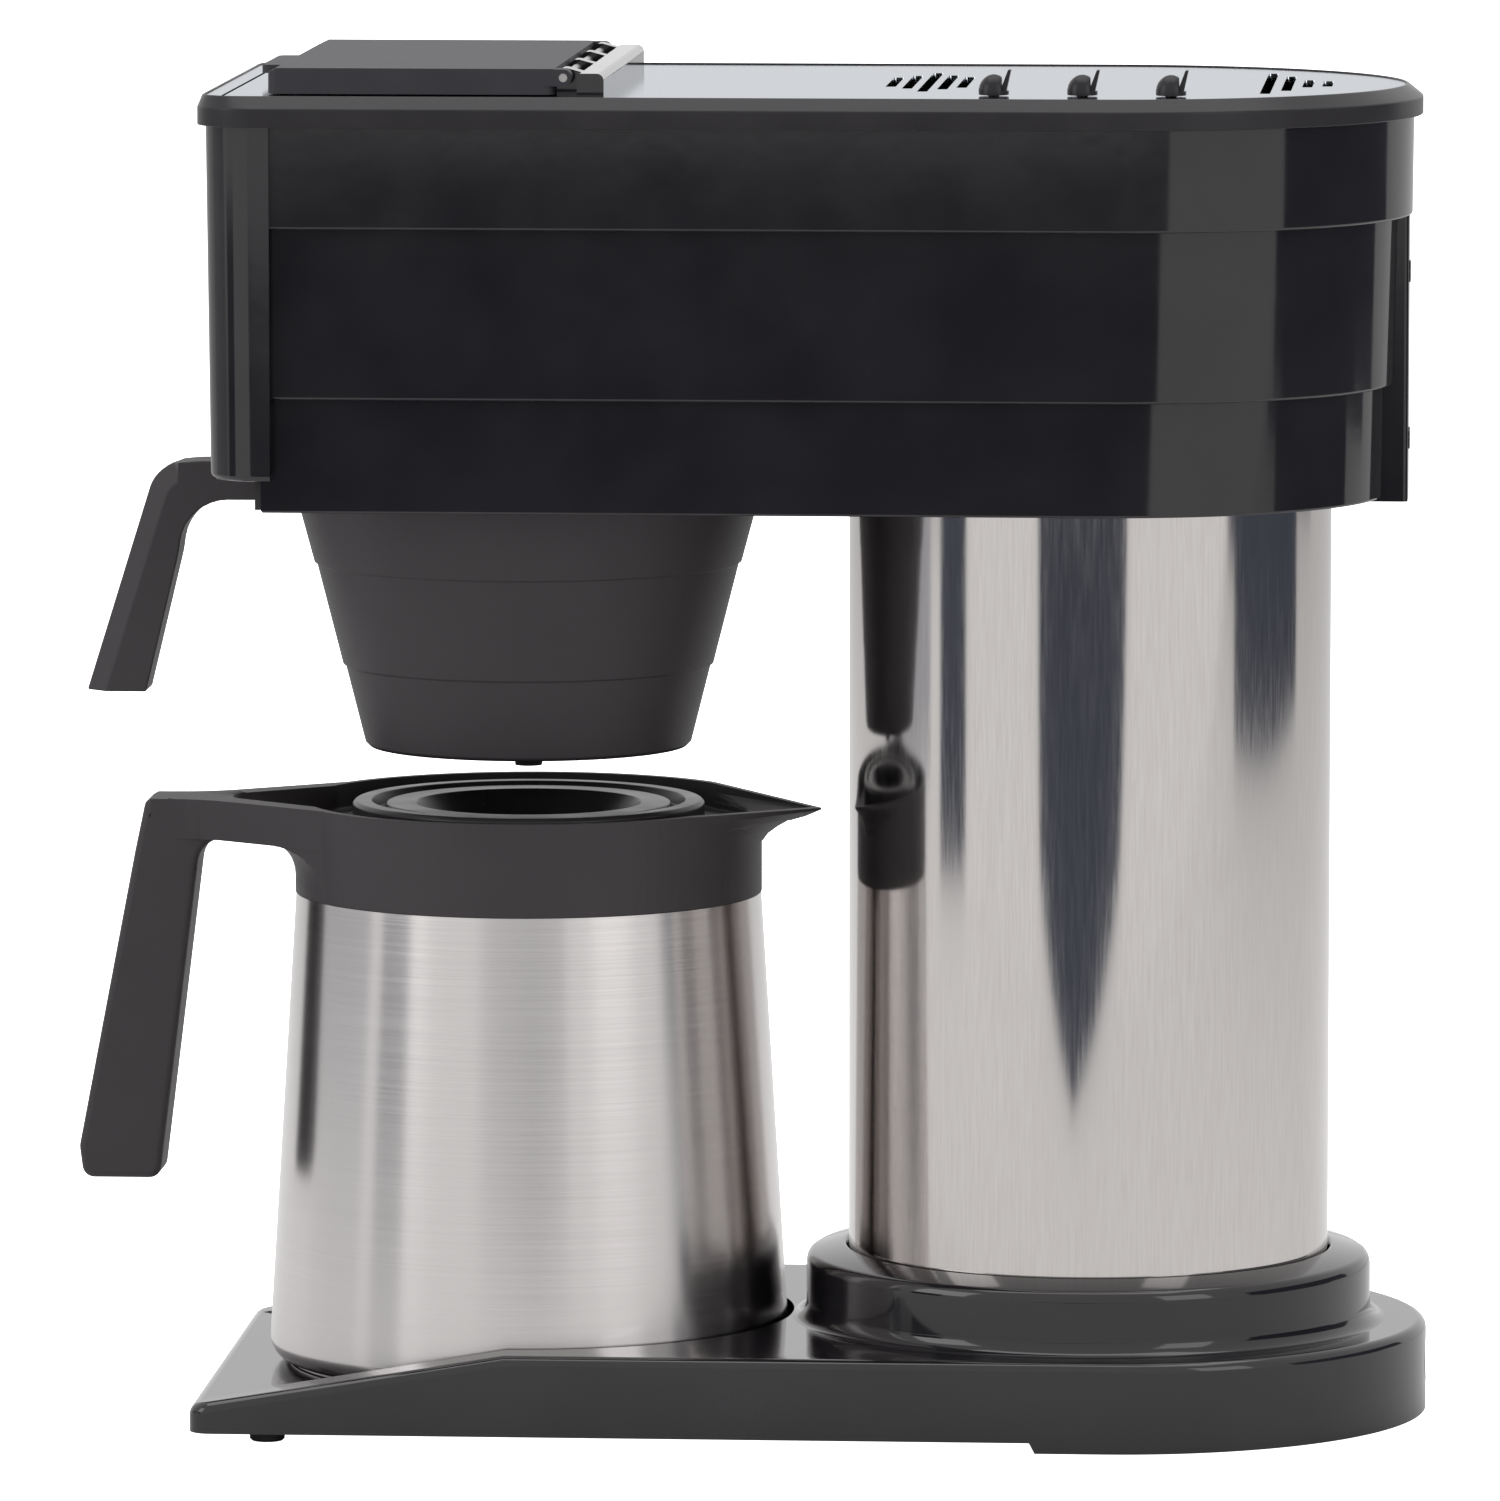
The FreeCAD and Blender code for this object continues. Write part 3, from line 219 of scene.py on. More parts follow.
def spun(name, outline, x, steps):
    """Solid turned about the upright axis at x from a closed outline of (radius, height)."""
    piece = drawn(name, [(x + r, 0, z) for r, z in outline + outline[:1]])
    weld(0.001)
    bpy.ops.mesh.select_all(action="SELECT")
    bpy.ops.mesh.spin(steps=steps, angle=2 * math.pi, center=(x * MM, 0, 0), axis=(0, 0, 1))
    weld(0.005)
    bpy.ops.mesh.dissolve_degenerate(threshold=0.001 * MM)
    bpy.ops.mesh.select_all(action="SELECT")
    bpy.ops.mesh.normals_make_consistent(inside=False)
    leave()
    return piece


def plate(name, outline, half, y=0.0):
    """Upright slab of an outline of (x, z, corner radius), half as thick to each side of y."""
    piece = drawn(name, [(x, y - half, z) for x, z, r in outline])
    bpy.ops.mesh.select_all(action="SELECT")
    bpy.ops.mesh.edge_face_add()
    for x, z, r in outline:
        if r:
            pick("VERT", lambda v: abs(v.co.x / MM - x) < 0.01 and abs(v.co.z / MM - z) < 0.01)
            bpy.ops.mesh.bevel(offset=r * MM, segments=8, affect="VERTICES")
    bpy.ops.mesh.select_all(action="SELECT")
    bpy.ops.mesh.extrude_region_move(TRANSFORM_OT_translate={"value": (0, 2 * half * MM, 0)})
    bpy.ops.mesh.select_all(action="SELECT")
    bpy.ops.mesh.normals_make_consistent(inside=False)
    leave()
    return piece


base = d_plan("base_moulding", BASE_FRONT, BASE_REAR, BASE_HALF, BASE_CORNER, SKIRT_BOTTOM,
              BASE_TOP)
edit()
bpy.ops.mesh.select_all(action="SELECT")
slope = math.atan2(BASE_TOP - LIP_TOP, CARAFE_X - BASE_FRONT)
bpy.ops.mesh.bisect(plane_co=(CARAFE_X * MM, 0, BASE_TOP * MM),
                    plane_no=(-math.sin(slope), 0, math.cos(slope)),
                    clear_outer=True, use_fill=True)
pick("EDGE", lambda e: len(e.link_faces) == 2 and middle(e).z > LIP_TOP - 1
     and min(f.normal.z for f in e.link_faces) < 0.3
     and max(f.normal.z for f in e.link_faces) > 0.7)
bevel(BASE_EDGE, 5)
leave()
collar = spun("collar", [(WELL_RADIUS, COLLAR_ROOT), (COLLAR_RADIUS + FOOT_FILLET, COLLAR_ROOT)]
              + [(COLLAR_RADIUS + FOOT_FILLET * (1 - math.sin(a)),
                  BASE_TOP + FOOT_FILLET * (1 - math.cos(a))) for a in QUARTER]
              + COLLAR_TOP, COLUMN_X, 192)
fit(base, collar, "UNION")
bay = block("bay", BASE_FRONT - 60, CARAFE_X + BAY_RADIUS, -BAY_RADIUS, BAY_RADIUS, DECK, 60)
edit()
round_corners(BAY_RADIUS * FULL_ROUND, ROUND_STEPS, after=CARAFE_X)
leave()
fit(base, bay, "DIFFERENCE")
under = plate("under", [(BASE_FRONT - 5, -5, 0), (SKIRT_FRONT + 4.4, -5, 0),
                        (SKIRT_FRONT, BASE_BOTTOM, 0), (BASE_FRONT - 5, BASE_BOTTOM, 0)], 120)
fit(base, under, "DIFFERENCE")
recess = d_plan("recess", BASE_FRONT + BASE_WALL, BASE_REAR - BASE_WALL, BASE_HALF - BASE_WALL,
                BASE_CORNER, -2, PLATE_SEAT)
fit(base, recess, "DIFFERENCE")
well = spun("well", [(0, WELL_FLOOR), (WELL_RADIUS, WELL_FLOOR), (WELL_RADIUS, 60), (0, 60)],
            COLUMN_X, 192)
fit(base, well, "DIFFERENCE")
gland_hole = rod("gland_hole", GLAND_RADIUS, 40, BASE_REAR, 0, GLAND_Z, 48, (0, math.pi / 2, 0))
fit(base, gland_hole, "DIFFERENCE")
soften(base, 0.5, 2, 38)


def linear(code):
    """Linear colour of an sRGB hex code."""
    values = [int(code[i:i + 2], 16) / 255 for i in (1, 3, 5)]
    return [v / 12.92 if v <= 0.04045 else ((v + 0.055) / 1.055) ** 2.4 for v in values] + [1.0]


def add(tree, kind, settings, links):
    """Adds a node, sets its sockets or properties, and links sockets of earlier nodes to it."""
    node = tree.nodes.new(kind)
    for key, value in settings.items():
        if isinstance(key, int) or key in node.inputs:
            node.inputs[key].default_value = value
        else:
            setattr(node, key, value)
    for key, source in links.items():
        tree.links.new(source, node.inputs[key])
    return node


def feed(finish, key, source):
    """Links a socket to one of the finish's shader inputs."""
    shader = finish.node_tree.nodes["Principled BSDF"]
    finish.node_tree.links.new(source, shader.inputs[key])


def new_finish(name, constants):
    """New material with fixed values for some of its shader inputs."""
    finish = bpy.data.materials.new(name)
    finish.use_nodes = True
    for key, value in constants.items():
        finish.node_tree.nodes["Principled BSDF"].inputs[key].default_value = value
    return finish


def noise(finish, size, detail):
    """Noise in the piece's own space, with spots about as large as the size in millimetres."""
    place = add(finish.node_tree, "ShaderNodeTexCoord", {}, {})
    field = add(finish.node_tree, "ShaderNodeTexNoise",
                {"Scale": 1 / (size * MM), "Detail": detail}, {"Vector": place.outputs["Object"]})
    return field.outputs["Fac"]


def tint(finish, field, dark, light, low=0.0, high=1.0):
    """Base colour from dark to light while the field goes from low to high."""
    tone = add(finish.node_tree, "ShaderNodeValToRGB", {}, {"Fac": field})
    for stop, position, code in zip(tone.color_ramp.elements, (low, high), (dark, light)):
        stop.position = position
        stop.color = linear(code)
    feed(finish, "Base Color", tone.outputs["Color"])


def roughen(finish, field, least, most, low=0.0, high=1.0):
    """Roughness from least to most while the field goes from low to high."""
    spread = add(finish.node_tree, "ShaderNodeMapRange",
                 {"From Min": low, "From Max": high, "To Min": least, "To Max": most},
                 {"Value": field})
    feed(finish, "Roughness", spread.outputs["Result"])


def relief(finish, field, strength, depth):
    """Fine relief as deep as the depth in millimetres."""
    skin = add(finish.node_tree, "ShaderNodeBump", {"Strength": strength, "Distance": depth * MM},
               {"Height": field})
    feed(finish, "Normal", skin.outputs["Normal"])


# ABS moulded in a polished tool: near black, sharp reflections with a faint orange peel about
# 5 mm across, and a little unevenness in the gloss from handling.
gloss_abs = new_finish("gloss_black_abs", {"IOR": 1.52, "Specular IOR Level": 0.5})
handling = noise(gloss_abs, 28, 4.0)
tint(gloss_abs, handling, "#1b191c", "#211f22", 0.35, 0.7)
roughen(gloss_abs, handling, 0.07, 0.1, 0.3, 0.7)
relief(gloss_abs, noise(gloss_abs, 5, 1.0), 1.0, 0.006)


def dress(piece, finish, body, slot, *nodes):
    """Gives a finished piece its material, its body and the nodes it stands for; the slot is not
    used.
    """
    piece.data.materials.clear()
    piece.data.materials.append(finish)
    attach(piece, body)
    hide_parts(*nodes)


dress(base, gloss_abs, "brewer", "gloss_black", "base_housing")


# Underside: a plain moulded plate screwed into the base from below, four glued rubber feet and
# the rubber gland in the back wall. They keep their built shapes, and share their materials with
# the works inside.
def coat(finish, *nodes):
    """Gives nodes that keep their built shape a finish of their own."""
    for name in nodes:
        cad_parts[name].material_slots[0].material = finish


# Polypropylene moulded in a spark-eroded tool: matte dark grey with an even grain about 0.8 mm
# wide.
inner_pp = new_finish("matte_black_polypropylene", {"IOR": 1.49})
tint(inner_pp, noise(inner_pp, 20, 3.0), "#201f21", "#2b292b")
grain = noise(inner_pp, 0.8, 2.0)
roughen(inner_pp, grain, 0.5, 0.66)
relief(inner_pp, grain, 0.5, 0.03)
coat(inner_pp, "base_bottom_plate", "head_floor", "funnel_carrier", "valve_cup", "valve_rod",
     "rotary_switches", "sprayhead")

# Moulded EPDM rubber: soft black, slightly dusty, without a clear reflection.
rubber = new_finish("moulded_black_rubber", {"IOR": 1.5})
dust = noise(rubber, 3, 5.0)
tint(rubber, dust, "#161616", "#2a2929")
roughen(rubber, dust, 0.6, 0.85)
coat(rubber, "rubber_feet", "tank_gasket", "valve_seal", "carafe_lid_gasket", "fill_tube",
     "spray_tube", "cord_gland")

# Plain stainless sheet and wire as it leaves the mill: bright grey with cloudy unevenness.
mill_steel = new_finish("mill_finish_stainless", {"Metallic": 1.0})
clouds = noise(mill_steel, 9, 4.0)
tint(mill_steel, clouds, "#a9a7a4", "#c4c2bf")
roughen(mill_steel, clouds, 0.25, 0.42)
coat(mill_steel, "base_screws", "water_tank", "tank_lid", "heating_element", "thermostat",
     "hinge_pin", "carafe_foot")

# Column: a sleeve rolled from bright brushed stainless sheet, welded at the back, standing in the
# collar of the base and closed on top by the head.
COLUMN_OUTER = 69.4
COLUMN_INNER = 68.2
COLUMN_TOP = 278.0
column = spun("column_sleeve", [(COLUMN_INNER, WELL_FLOOR), (COLUMN_OUTER, WELL_FLOOR),
                                (COLUMN_OUTER, COLUMN_TOP), (COLUMN_INNER, COLUMN_TOP)],
              COLUMN_X, 256)
smooth(column)


def strokes(finish, sizes):
    """Noise drawn out into strokes, with their sizes along x, y and z in millimetres."""
    place = add(finish.node_tree, "ShaderNodeTexCoord", {}, {})
    along = add(finish.node_tree, "ShaderNodeMapping", {"Scale": [1 / (s * MM) for s in sizes]},
                {"Vector": place.outputs["Object"]})
    field = add(finish.node_tree, "ShaderNodeTexNoise", {"Scale": 1.0, "Detail": 3.0},
                {"Vector": along.outputs["Vector"]})
    return field.outputs["Fac"]


def grain_round(finish):
    """Takes the direction of the metal's grain from the circles round the upright axis."""
    around = add(finish.node_tree, "ShaderNodeTangent",
                 {"direction_type": "RADIAL", "axis": "Z"}, {})
    feed(finish, "Tangent", around.outputs["Tangent"])


# Stainless brushed up and down with a fine belt and buffed: almost a mirror along the brush lines,
# which show as short upright scratches about 0.5 mm apart, drawn coarser than they are.
column_steel = new_finish("bright_brushed_stainless", {"Metallic": 1.0, "Anisotropic": 0.3})
brush = strokes(column_steel, (0.6, 0.6, 14))
tint(column_steel, brush, "#beb9b7", "#c9c5c3", 0.25, 0.75)
roughen(column_steel, brush, 0.07, 0.12, 0.25, 0.75)
relief(column_steel, brush, 0.1, 0.001)
grain_round(column_steel)
dress(column, column_steel, "brewer", "column_steel", "column_shell")

# Head housing: a gloss black moulding in three bands, each a little wider than the one below, with
# a half-round back. It is open below for the funnel and closed above by the hood.
HEAD_FRONT = -136.0
HEAD_REAR = 190.05
HEAD_HALF = 87.3
HEAD_BOTTOM = 265.5
HEAD_TOP = 375.3
HEAD_WALL = 2.4
LOW_STEP = 298.0
HIGH_STEP = 346.5
# inset of the outline from the widest one at the bottom, then height and inset up to the top
BOTTOM_INSET = 8.0
HEAD_STEPS = [(LOW_STEP, 7.5), (LOW_STEP, 4.7), (HIGH_STEP, 3.8), (HIGH_STEP, 0.3), (HEAD_TOP, 0.0)]
# share of the inset that the front has
FRONT_DRAW = 0.25
DOOR_HALF = 76.8
DOOR_TOP = 279.0
JOGGLE_REAR = -130.3
JOGGLE_HALF = 86.15


def head_outline(inset):
    """Front, length and half width of the head's outline at an inset."""
    front = HEAD_FRONT + inset * FRONT_DRAW
    return front, HEAD_REAR - HEAD_FRONT - inset * (1 + FRONT_DRAW), HEAD_HALF - inset


def draw_up(height):
    """In edit mode, extrudes the selected faces upwards."""
    bpy.ops.mesh.extrude_region_move(TRANSFORM_OT_translate={"value": (0, 0, height * MM)})


def hollow(piece, thickness):
    """Gives an open skin a wall on its inside."""
    wall = piece.modifiers.new("wall", "SOLIDIFY")
    wall.thickness = thickness * MM
    wall.offset = -1
    wall.use_even_offset = True
    bpy.context.view_layer.objects.active = piece
    bpy.ops.object.modifier_apply(modifier="wall")


front, length, half = head_outline(BOTTOM_INSET)
head = d_plan("head_moulding", front, HEAD_REAR - BOTTOM_INSET, half, 0, HEAD_BOTTOM, LOW_STEP)
edit()
height = LOW_STEP
for number, (new_height, new_inset) in enumerate(HEAD_STEPS):
    pick("FACE", lambda f: f.normal.z > SQUARE)
    if number:
        draw_up(new_height - height)
    new_front, new_length, new_half = head_outline(new_inset)
    bpy.ops.transform.resize(value=(new_length / length, new_half / half, 1),
                             center_override=(front * MM, 0, new_height * MM))
    bpy.ops.transform.translate(value=((new_front - front) * MM, 0, 0))
    front, length, half, height = new_front, new_length, new_half, new_height
pick("EDGE", lambda e: len(e.link_faces) == 2 and e.is_convex
     and min(f.normal.z for f in e.link_faces) < -SQUARE < max(f.normal.z for f in e.link_faces))
bevel(0.8, 3)
pick("FACE", lambda f: f.normal.z > SQUARE and middle(f).z > HEAD_TOP - 0.3
     or f.normal.z < -SQUARE and middle(f).z < HEAD_BOTTOM + 0.5)
bpy.ops.mesh.delete(type="FACE")
leave()
hollow(head, HEAD_WALL)
edit()
pick("EDGE", lambda e: upright(e) and e.is_convex and middle(e).x < HEAD_FRONT + 3)
bevel(0.6, 3)
leave()
fit(head, block("funnel_door", -150, -128, -DOOR_HALF, DOOR_HALF, 260, DOOR_TOP), "DIFFERENCE")
for side in (-1, 1):
    left, right = sorted((side * JOGGLE_HALF, side * 95))
    fit(head, block("joggle", -150, JOGGLE_REAR, left, right, HIGH_STEP - 1, 380), "DIFFERENCE")
smooth(head)
dress(head, gloss_abs, "brewer", "gloss_black", "head_housing")

# Front fascia: a gloss black cover with rounded corners, clipped over the front of the head. It
# leans out slightly towards the top.
FASCIA_FRONT = -149.8
FASCIA_REAR = -130.5
FASCIA_HALF = 88.25
FASCIA_BOTTOM = 275.2
FASCIA_CORNER = 15.0
FASCIA_WALL = 2.0
FASCIA_LEAN = 1.1
fascia = block("fascia_moulding", FASCIA_FRONT, FASCIA_REAR, -FASCIA_HALF, FASCIA_HALF,
               FASCIA_BOTTOM, HEAD_TOP)
edit()
round_corners(FASCIA_CORNER, 14, before=FASCIA_FRONT + 1)
pick("VERT", lambda v: v.co.z / MM < FASCIA_BOTTOM + 1)
fascia_depth = FASCIA_REAR - FASCIA_FRONT
bpy.ops.transform.resize(value=((fascia_depth - FASCIA_LEAN) / fascia_depth, 1, 1),
                         center_override=(FASCIA_REAR * MM, 0, FASCIA_BOTTOM * MM))
pick("EDGE", lambda e: len(e.link_faces) == 2 and middle(e).x < FASCIA_REAR - 0.1
     and min(f.normal.z for f in e.link_faces) < -SQUARE)
bevel(1.6, 4)
pick("FACE", lambda f: f.normal.z > SQUARE or f.normal.x > SQUARE)
bpy.ops.mesh.delete(type="FACE")
leave()
hollow(fascia, FASCIA_WALL)
smooth(fascia)
dress(fascia, gloss_abs, "brewer", "gloss_black", "front_fascia")

# Rear spacer: a narrow black rib screwed to the back of the head, which keeps it off the wall. The
# two screws have low blackened heads.
SPACER_BACK = 188.9
SCREW_FLATTENING = 0.4


def taken(node, name):
    """Copy of a node's built shape, free to be worked on."""
    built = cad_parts[node]
    piece = built.copy()
    piece.data = built.data.copy()
    for key in list(piece.keys()):
        del piece[key]
    piece.parent = None
    piece.name = name
    bpy.context.scene.collection.objects.link(piece)
    alone(piece)
    edit()
    weld(0.001)
    leave()
    return piece


screws = taken("spacer_screws", "spacer_screw_heads")
edit()
bpy.ops.mesh.select_all(action="SELECT")
bpy.ops.transform.resize(value=(SCREW_FLATTENING, 1, 1), center_override=(SPACER_BACK * MM, 0, 0))
leave()
smooth(screws)
dress(screws, gloss_abs, "brewer", "inner_steel", "spacer_screws")
coat(gloss_abs, "rear_spacer", "hinge_bar")

# Hood rim: an overhanging black frame with a bevelled top, which holds the panel in a rebate. The
# bevel is narrower along the front.
RIM_FRONT = -152.2
RIM_REAR = 192.65
RIM_HALF = 90.15
RIM_CORNER = 17.0
RIM_SHOULDER = 380.5
RIM_BEVEL = 4.3
RIM_RISE = 3.5
RIM_TOP = RIM_SHOULDER + RIM_RISE
RIM_LAND = 0.7
RIM_LEDGE = 3.0
PANEL_SEAT = 381.6
FRONT_BEVEL_CUT = 2.8
# area in square metres that only the large top and bottom faces exceed
LARGE = 0.02


def top_face():
    """In edit mode, selects the large face that looks up."""
    pick("FACE", lambda f: f.normal.z > SQUARE and f.calc_area() > LARGE)


def under_face(face):
    """Whether a face is the large one that looks down."""
    return face.normal.z < -SQUARE and face.calc_area() > LARGE


def inset(width):
    """In edit mode, insets the selected faces."""
    bpy.ops.mesh.inset(thickness=width * MM, depth=0)


rim = d_plan("rim_moulding", RIM_FRONT, RIM_REAR, RIM_HALF, RIM_CORNER, HEAD_TOP, RIM_SHOULDER)
edit()
top_face()
inset(RIM_BEVEL)
bpy.ops.transform.translate(value=(0, 0, RIM_RISE * MM))
pick("VERT", lambda v: v.co.z / MM > RIM_TOP - 0.5 and v.co.x / MM < RIM_FRONT + 30)
bpy.ops.transform.translate(value=(-FRONT_BEVEL_CUT * MM, 0, 0))
top_face()
inset(RIM_LAND)
top_face()
draw_up(PANEL_SEAT - RIM_TOP)
top_face()
inset(RIM_LEDGE)
top_face()
draw_up(HEAD_TOP - PANEL_SEAT)
pick("FACE", under_face)
inset(RIM_BEVEL + RIM_LAND + RIM_LEDGE)
pick("VERT", lambda v: v.co.z / MM < HEAD_TOP + 0.2 and v.co.x / MM < RIM_FRONT + 30
     and any(under_face(f) for f in v.link_faces))
bpy.ops.transform.translate(value=(-FRONT_BEVEL_CUT * MM, 0, 0))
pick("FACE", lambda f: abs(f.normal.z) > SQUARE and f.calc_area() > LARGE)
bpy.ops.mesh.delete(type="FACE")
weld(0.1)
leave()
soften(rim, 0.45, 3, 25)
# ABS from a tool with a dull polish: a shade greyer than the gloss parts, with a soft, broad
# reflection.
rim_abs = new_finish("dull_polished_black_abs", {"IOR": 1.5, "Specular IOR Level": 0.2})
handling = noise(rim_abs, 22, 4.0)
tint(rim_abs, handling, "#262427", "#2d2b2d", 0.35, 0.7)
roughen(rim_abs, handling, 0.26, 0.36, 0.3, 0.7)
dress(rim, rim_abs, "brewer", "gloss_black", "hood_rim")

# Top panel: a sheet of bright anodised aluminium let into the rim, with the filling mouth, two
# groups of vent slots, the holes for the knob shafts and a joint line across the front.
PANEL_INSET = 5.15
PANEL_TOP = 383.6
MOUTH_FRONT = -122.0
MOUTH_REAR = -60.0
MOUTH_HALF = 62.0
MOUTH_CORNER = 6.0
JOINT_INSET = 7.2
JOINT_WIDTH = 0.9
JOINT_HALF = 80.0
SLOT_WIDTH = 2.9
SLOT_CORNER = 0.6
FRONT_SLOTS = [(41.0 + 5.1 * i, length) for i, length in enumerate([45.0, 62.0, 90.0, 68.0, 52.0])]
REAR_SLOTS = [(148.5 + 5.6 * i, length) for i, length in enumerate([98.0, 69.0, 35.0, 26.0])]
KNOB_Y = -63.0
KNOB_XS = [72.5, 97.5, 122.5]
SHAFT_HOLE = 1.85
# heights between which the cutters go through the sheet
CUT_LOW = 379.0
CUT_HIGH = 386.0


def opening(name, x0, x1, half, corner, segments):
    """Cutter for an opening with rounded corners."""
    cutter = block(name, x0, x1, -half, half, CUT_LOW, CUT_HIGH)
    edit()
    round_corners(corner, segments)
    leave()
    return cutter


panel = d_plan("panel_sheet", RIM_FRONT + PANEL_INSET - FRONT_BEVEL_CUT, RIM_REAR - PANEL_INSET,
               RIM_HALF - PANEL_INSET, RIM_CORNER - PANEL_INSET, PANEL_SEAT, PANEL_TOP)
joint = RIM_FRONT + JOINT_INSET
cutters = [opening("mouth", MOUTH_FRONT, MOUTH_REAR, MOUTH_HALF, MOUTH_CORNER, 8),
           block("joint", joint, joint + JOINT_WIDTH, -JOINT_HALF, JOINT_HALF, CUT_LOW, CUT_HIGH)]
for x, length in FRONT_SLOTS + REAR_SLOTS:
    cutters.append(opening("slot", x - SLOT_WIDTH / 2, x + SLOT_WIDTH / 2, length / 2,
                           SLOT_CORNER, 4))
for x in KNOB_XS:
    cutters.append(rod("shaft_hole", SHAFT_HOLE, CUT_HIGH - CUT_LOW, x, KNOB_Y,
                       (CUT_LOW + CUT_HIGH) / 2, 32))
bpy.ops.object.select_all(action="DESELECT")
for cutter in cutters:
    cutter.select_set(True)
bpy.context.view_layer.objects.active = cutters[0]
bpy.ops.object.join()
fit(panel, cutters[0], "DIFFERENCE")
soften(panel, 0.25, 2, 30)
# Aluminium sheet, polished and clear anodised: a pale mirror, slightly clouded, with a trace of
# rolling lines.
panel_metal = new_finish("bright_anodised_aluminium",
                         {"Metallic": 1.0, "Specular Tint": linear("#c6cad0")})
rolled = strokes(panel_metal, (40, 1.2, 5))
tint(panel_metal, rolled, "#c9ccd0", "#d3d5d9")
roughen(panel_metal, rolled, 0.05, 0.14)
dress(panel, panel_metal, "brewer", "silver_panel", "top_panel")

# Reservoir: a moulded tub under the panel, with the drain in its floor. It is seen only through the
# open lid and keeps its built shape.
# Polypropylene from a smooth tool: dark grey, with slight clouds and a soft sheen.
tub_pp = new_finish("natural_grey_polypropylene", {"IOR": 1.49})
clouds = noise(tub_pp, 25, 3.0)
tint(tub_pp, clouds, "#3a3a3c", "#474749")
roughen(tub_pp, clouds, 0.32, 0.48)
coat(tub_pp, "reservoir")

# Hood lid: a satin black flap, hollow below, with a finger tab in front, two ears on the hinge pin
# and a pad inside that pushes the drain valve down.
LID_FRONT = -132.4
LID_REAR = -51.2
LID_HALF = 73.0
LID_CORNER = 3.0
LID_BOTTOM = 383.9
LID_TOP = 391.2
LID_WALL = 2.4
LID_HOLLOW = 4.9
TAB_FRONT = -139.2
TAB_REAR = -126.0
TAB_HALF = 24.5
TAB_CORNER = 2.5
TAB_BOTTOM = 386.9
TAB_TOP = 389.3
# x, height and corner radius of the wedge that slants the lid's front
NOSE = [(-140, 386.2, 0), (-127, 392.6, 0), (-140, 392.6, 0)]
EAR_FRONT = -55.2
EAR_REAR = -46.2
EAR_BOTTOM = 386.3
EAR_TOP = 391.1
EAR_CORNER = 2.2
EAR_HALF = 3.25
EAR_Y = 69.75
PIN_X = -48.6
PIN_Z = 388.7
PIN_HOLE = 1.25
PAD_X = -68.0
PAD_Y = 52.0
PAD_Z = 386.9
PAD_RADIUS = 5.0
PAD_HEIGHT = 5.2
lid = block("lid_moulding", LID_FRONT, LID_REAR, -LID_HALF, LID_HALF, LID_BOTTOM, LID_TOP)
edit()
round_corners(LID_CORNER, 6)
pick("FACE", lambda f: f.normal.z < -SQUARE)
inset(LID_WALL)
draw_up(LID_HOLLOW)
leave()
tab = block("tab", TAB_FRONT, TAB_REAR, -TAB_HALF, TAB_HALF, TAB_BOTTOM, TAB_TOP)
edit()
round_corners(TAB_CORNER, 6, before=TAB_FRONT + 1)
leave()
fit(lid, tab, "UNION")
# The front of the lid is cut back at a slant, except where the tab stands.
nose = plate("nose", NOSE, 80)
fit(nose, block("keep", -141, -120, -TAB_HALF, TAB_HALF, 380, TAB_TOP), "DIFFERENCE")
fit(lid, nose, "DIFFERENCE")
for side in (-1, 1):
    ear = plate("ear", [(EAR_FRONT, EAR_BOTTOM, 0), (EAR_REAR, EAR_BOTTOM, EAR_CORNER),
                        (EAR_REAR, EAR_TOP, EAR_CORNER), (EAR_FRONT, EAR_TOP, 0)],
                EAR_HALF, side * EAR_Y)
    fit(lid, ear, "UNION")
fit(lid, rod("pad", PAD_RADIUS, PAD_HEIGHT, PAD_X, PAD_Y, PAD_Z, 48), "UNION")
fit(lid, rod("pin_hole", PIN_HOLE, 160, PIN_X, 0, PIN_Z, 32, (math.pi / 2, 0, 0)), "DIFFERENCE")
soften(lid, 0.5, 3, 30)
# ABS with a fine satin texture: dark grey with a broad, soft sheen and a grain about 0.5 mm wide.
satin_abs = new_finish("satin_black_abs", {"IOR": 1.52, "Specular IOR Level": 0.2})
tint(satin_abs, noise(satin_abs, 15, 4.0), "#303034", "#3a393d")
grain = noise(satin_abs, 0.5, 2.0)
roughen(satin_abs, grain, 0.48, 0.58)
relief(satin_abs, grain, 0.5, 0.02)
dress(lid, satin_abs, "lid", "satin_black", "hood_lid")

# Control knobs: three small domed buttons moulded in black, each with an upright pointer fin,
# pushed on the shafts of the switches. One is modelled and copied.
KNOB_LOW = 383.9
KNOB_FLAT = 2.25
# radius and height of the dome above the knob's lower edge
DOME = [(0, 0), (4.2, 0), (4.3, 0.3), (4.3, 1.5), (4.0, 2.8), (3.5, 3.8), (2.7, 4.7), (1.7, 5.4),
        (0.8, 5.7), (0, 5.8)]
# x and height of the fin's corners
FIN = [(1.64, 0.6), (3.5, 0.6), (4.92, 7.1), (4.1, 7.1)]
FIN_HALF = 2.4
SHAFT_RADIUS = 1.5
SHAFT_LOW = 372.0
SHAFT_HIGH = 385.0
knob = spun("knob_moulding", [(r, KNOB_LOW + z) for r, z in DOME], 0, 48)
fit(knob, block("flat", KNOB_FLAT, 8, -6, 6, KNOB_LOW + 1.2, 395), "DIFFERENCE")
fit(knob, plate("fin", [(x, KNOB_LOW + z, 0) for x, z in FIN], FIN_HALF), "UNION")
fit(knob, spun("shaft", [(0, SHAFT_LOW), (SHAFT_RADIUS, SHAFT_LOW), (SHAFT_RADIUS, SHAFT_HIGH),
                         (0, SHAFT_HIGH)], 0, 24), "UNION")
soften(knob, 0.2, 2, 35)
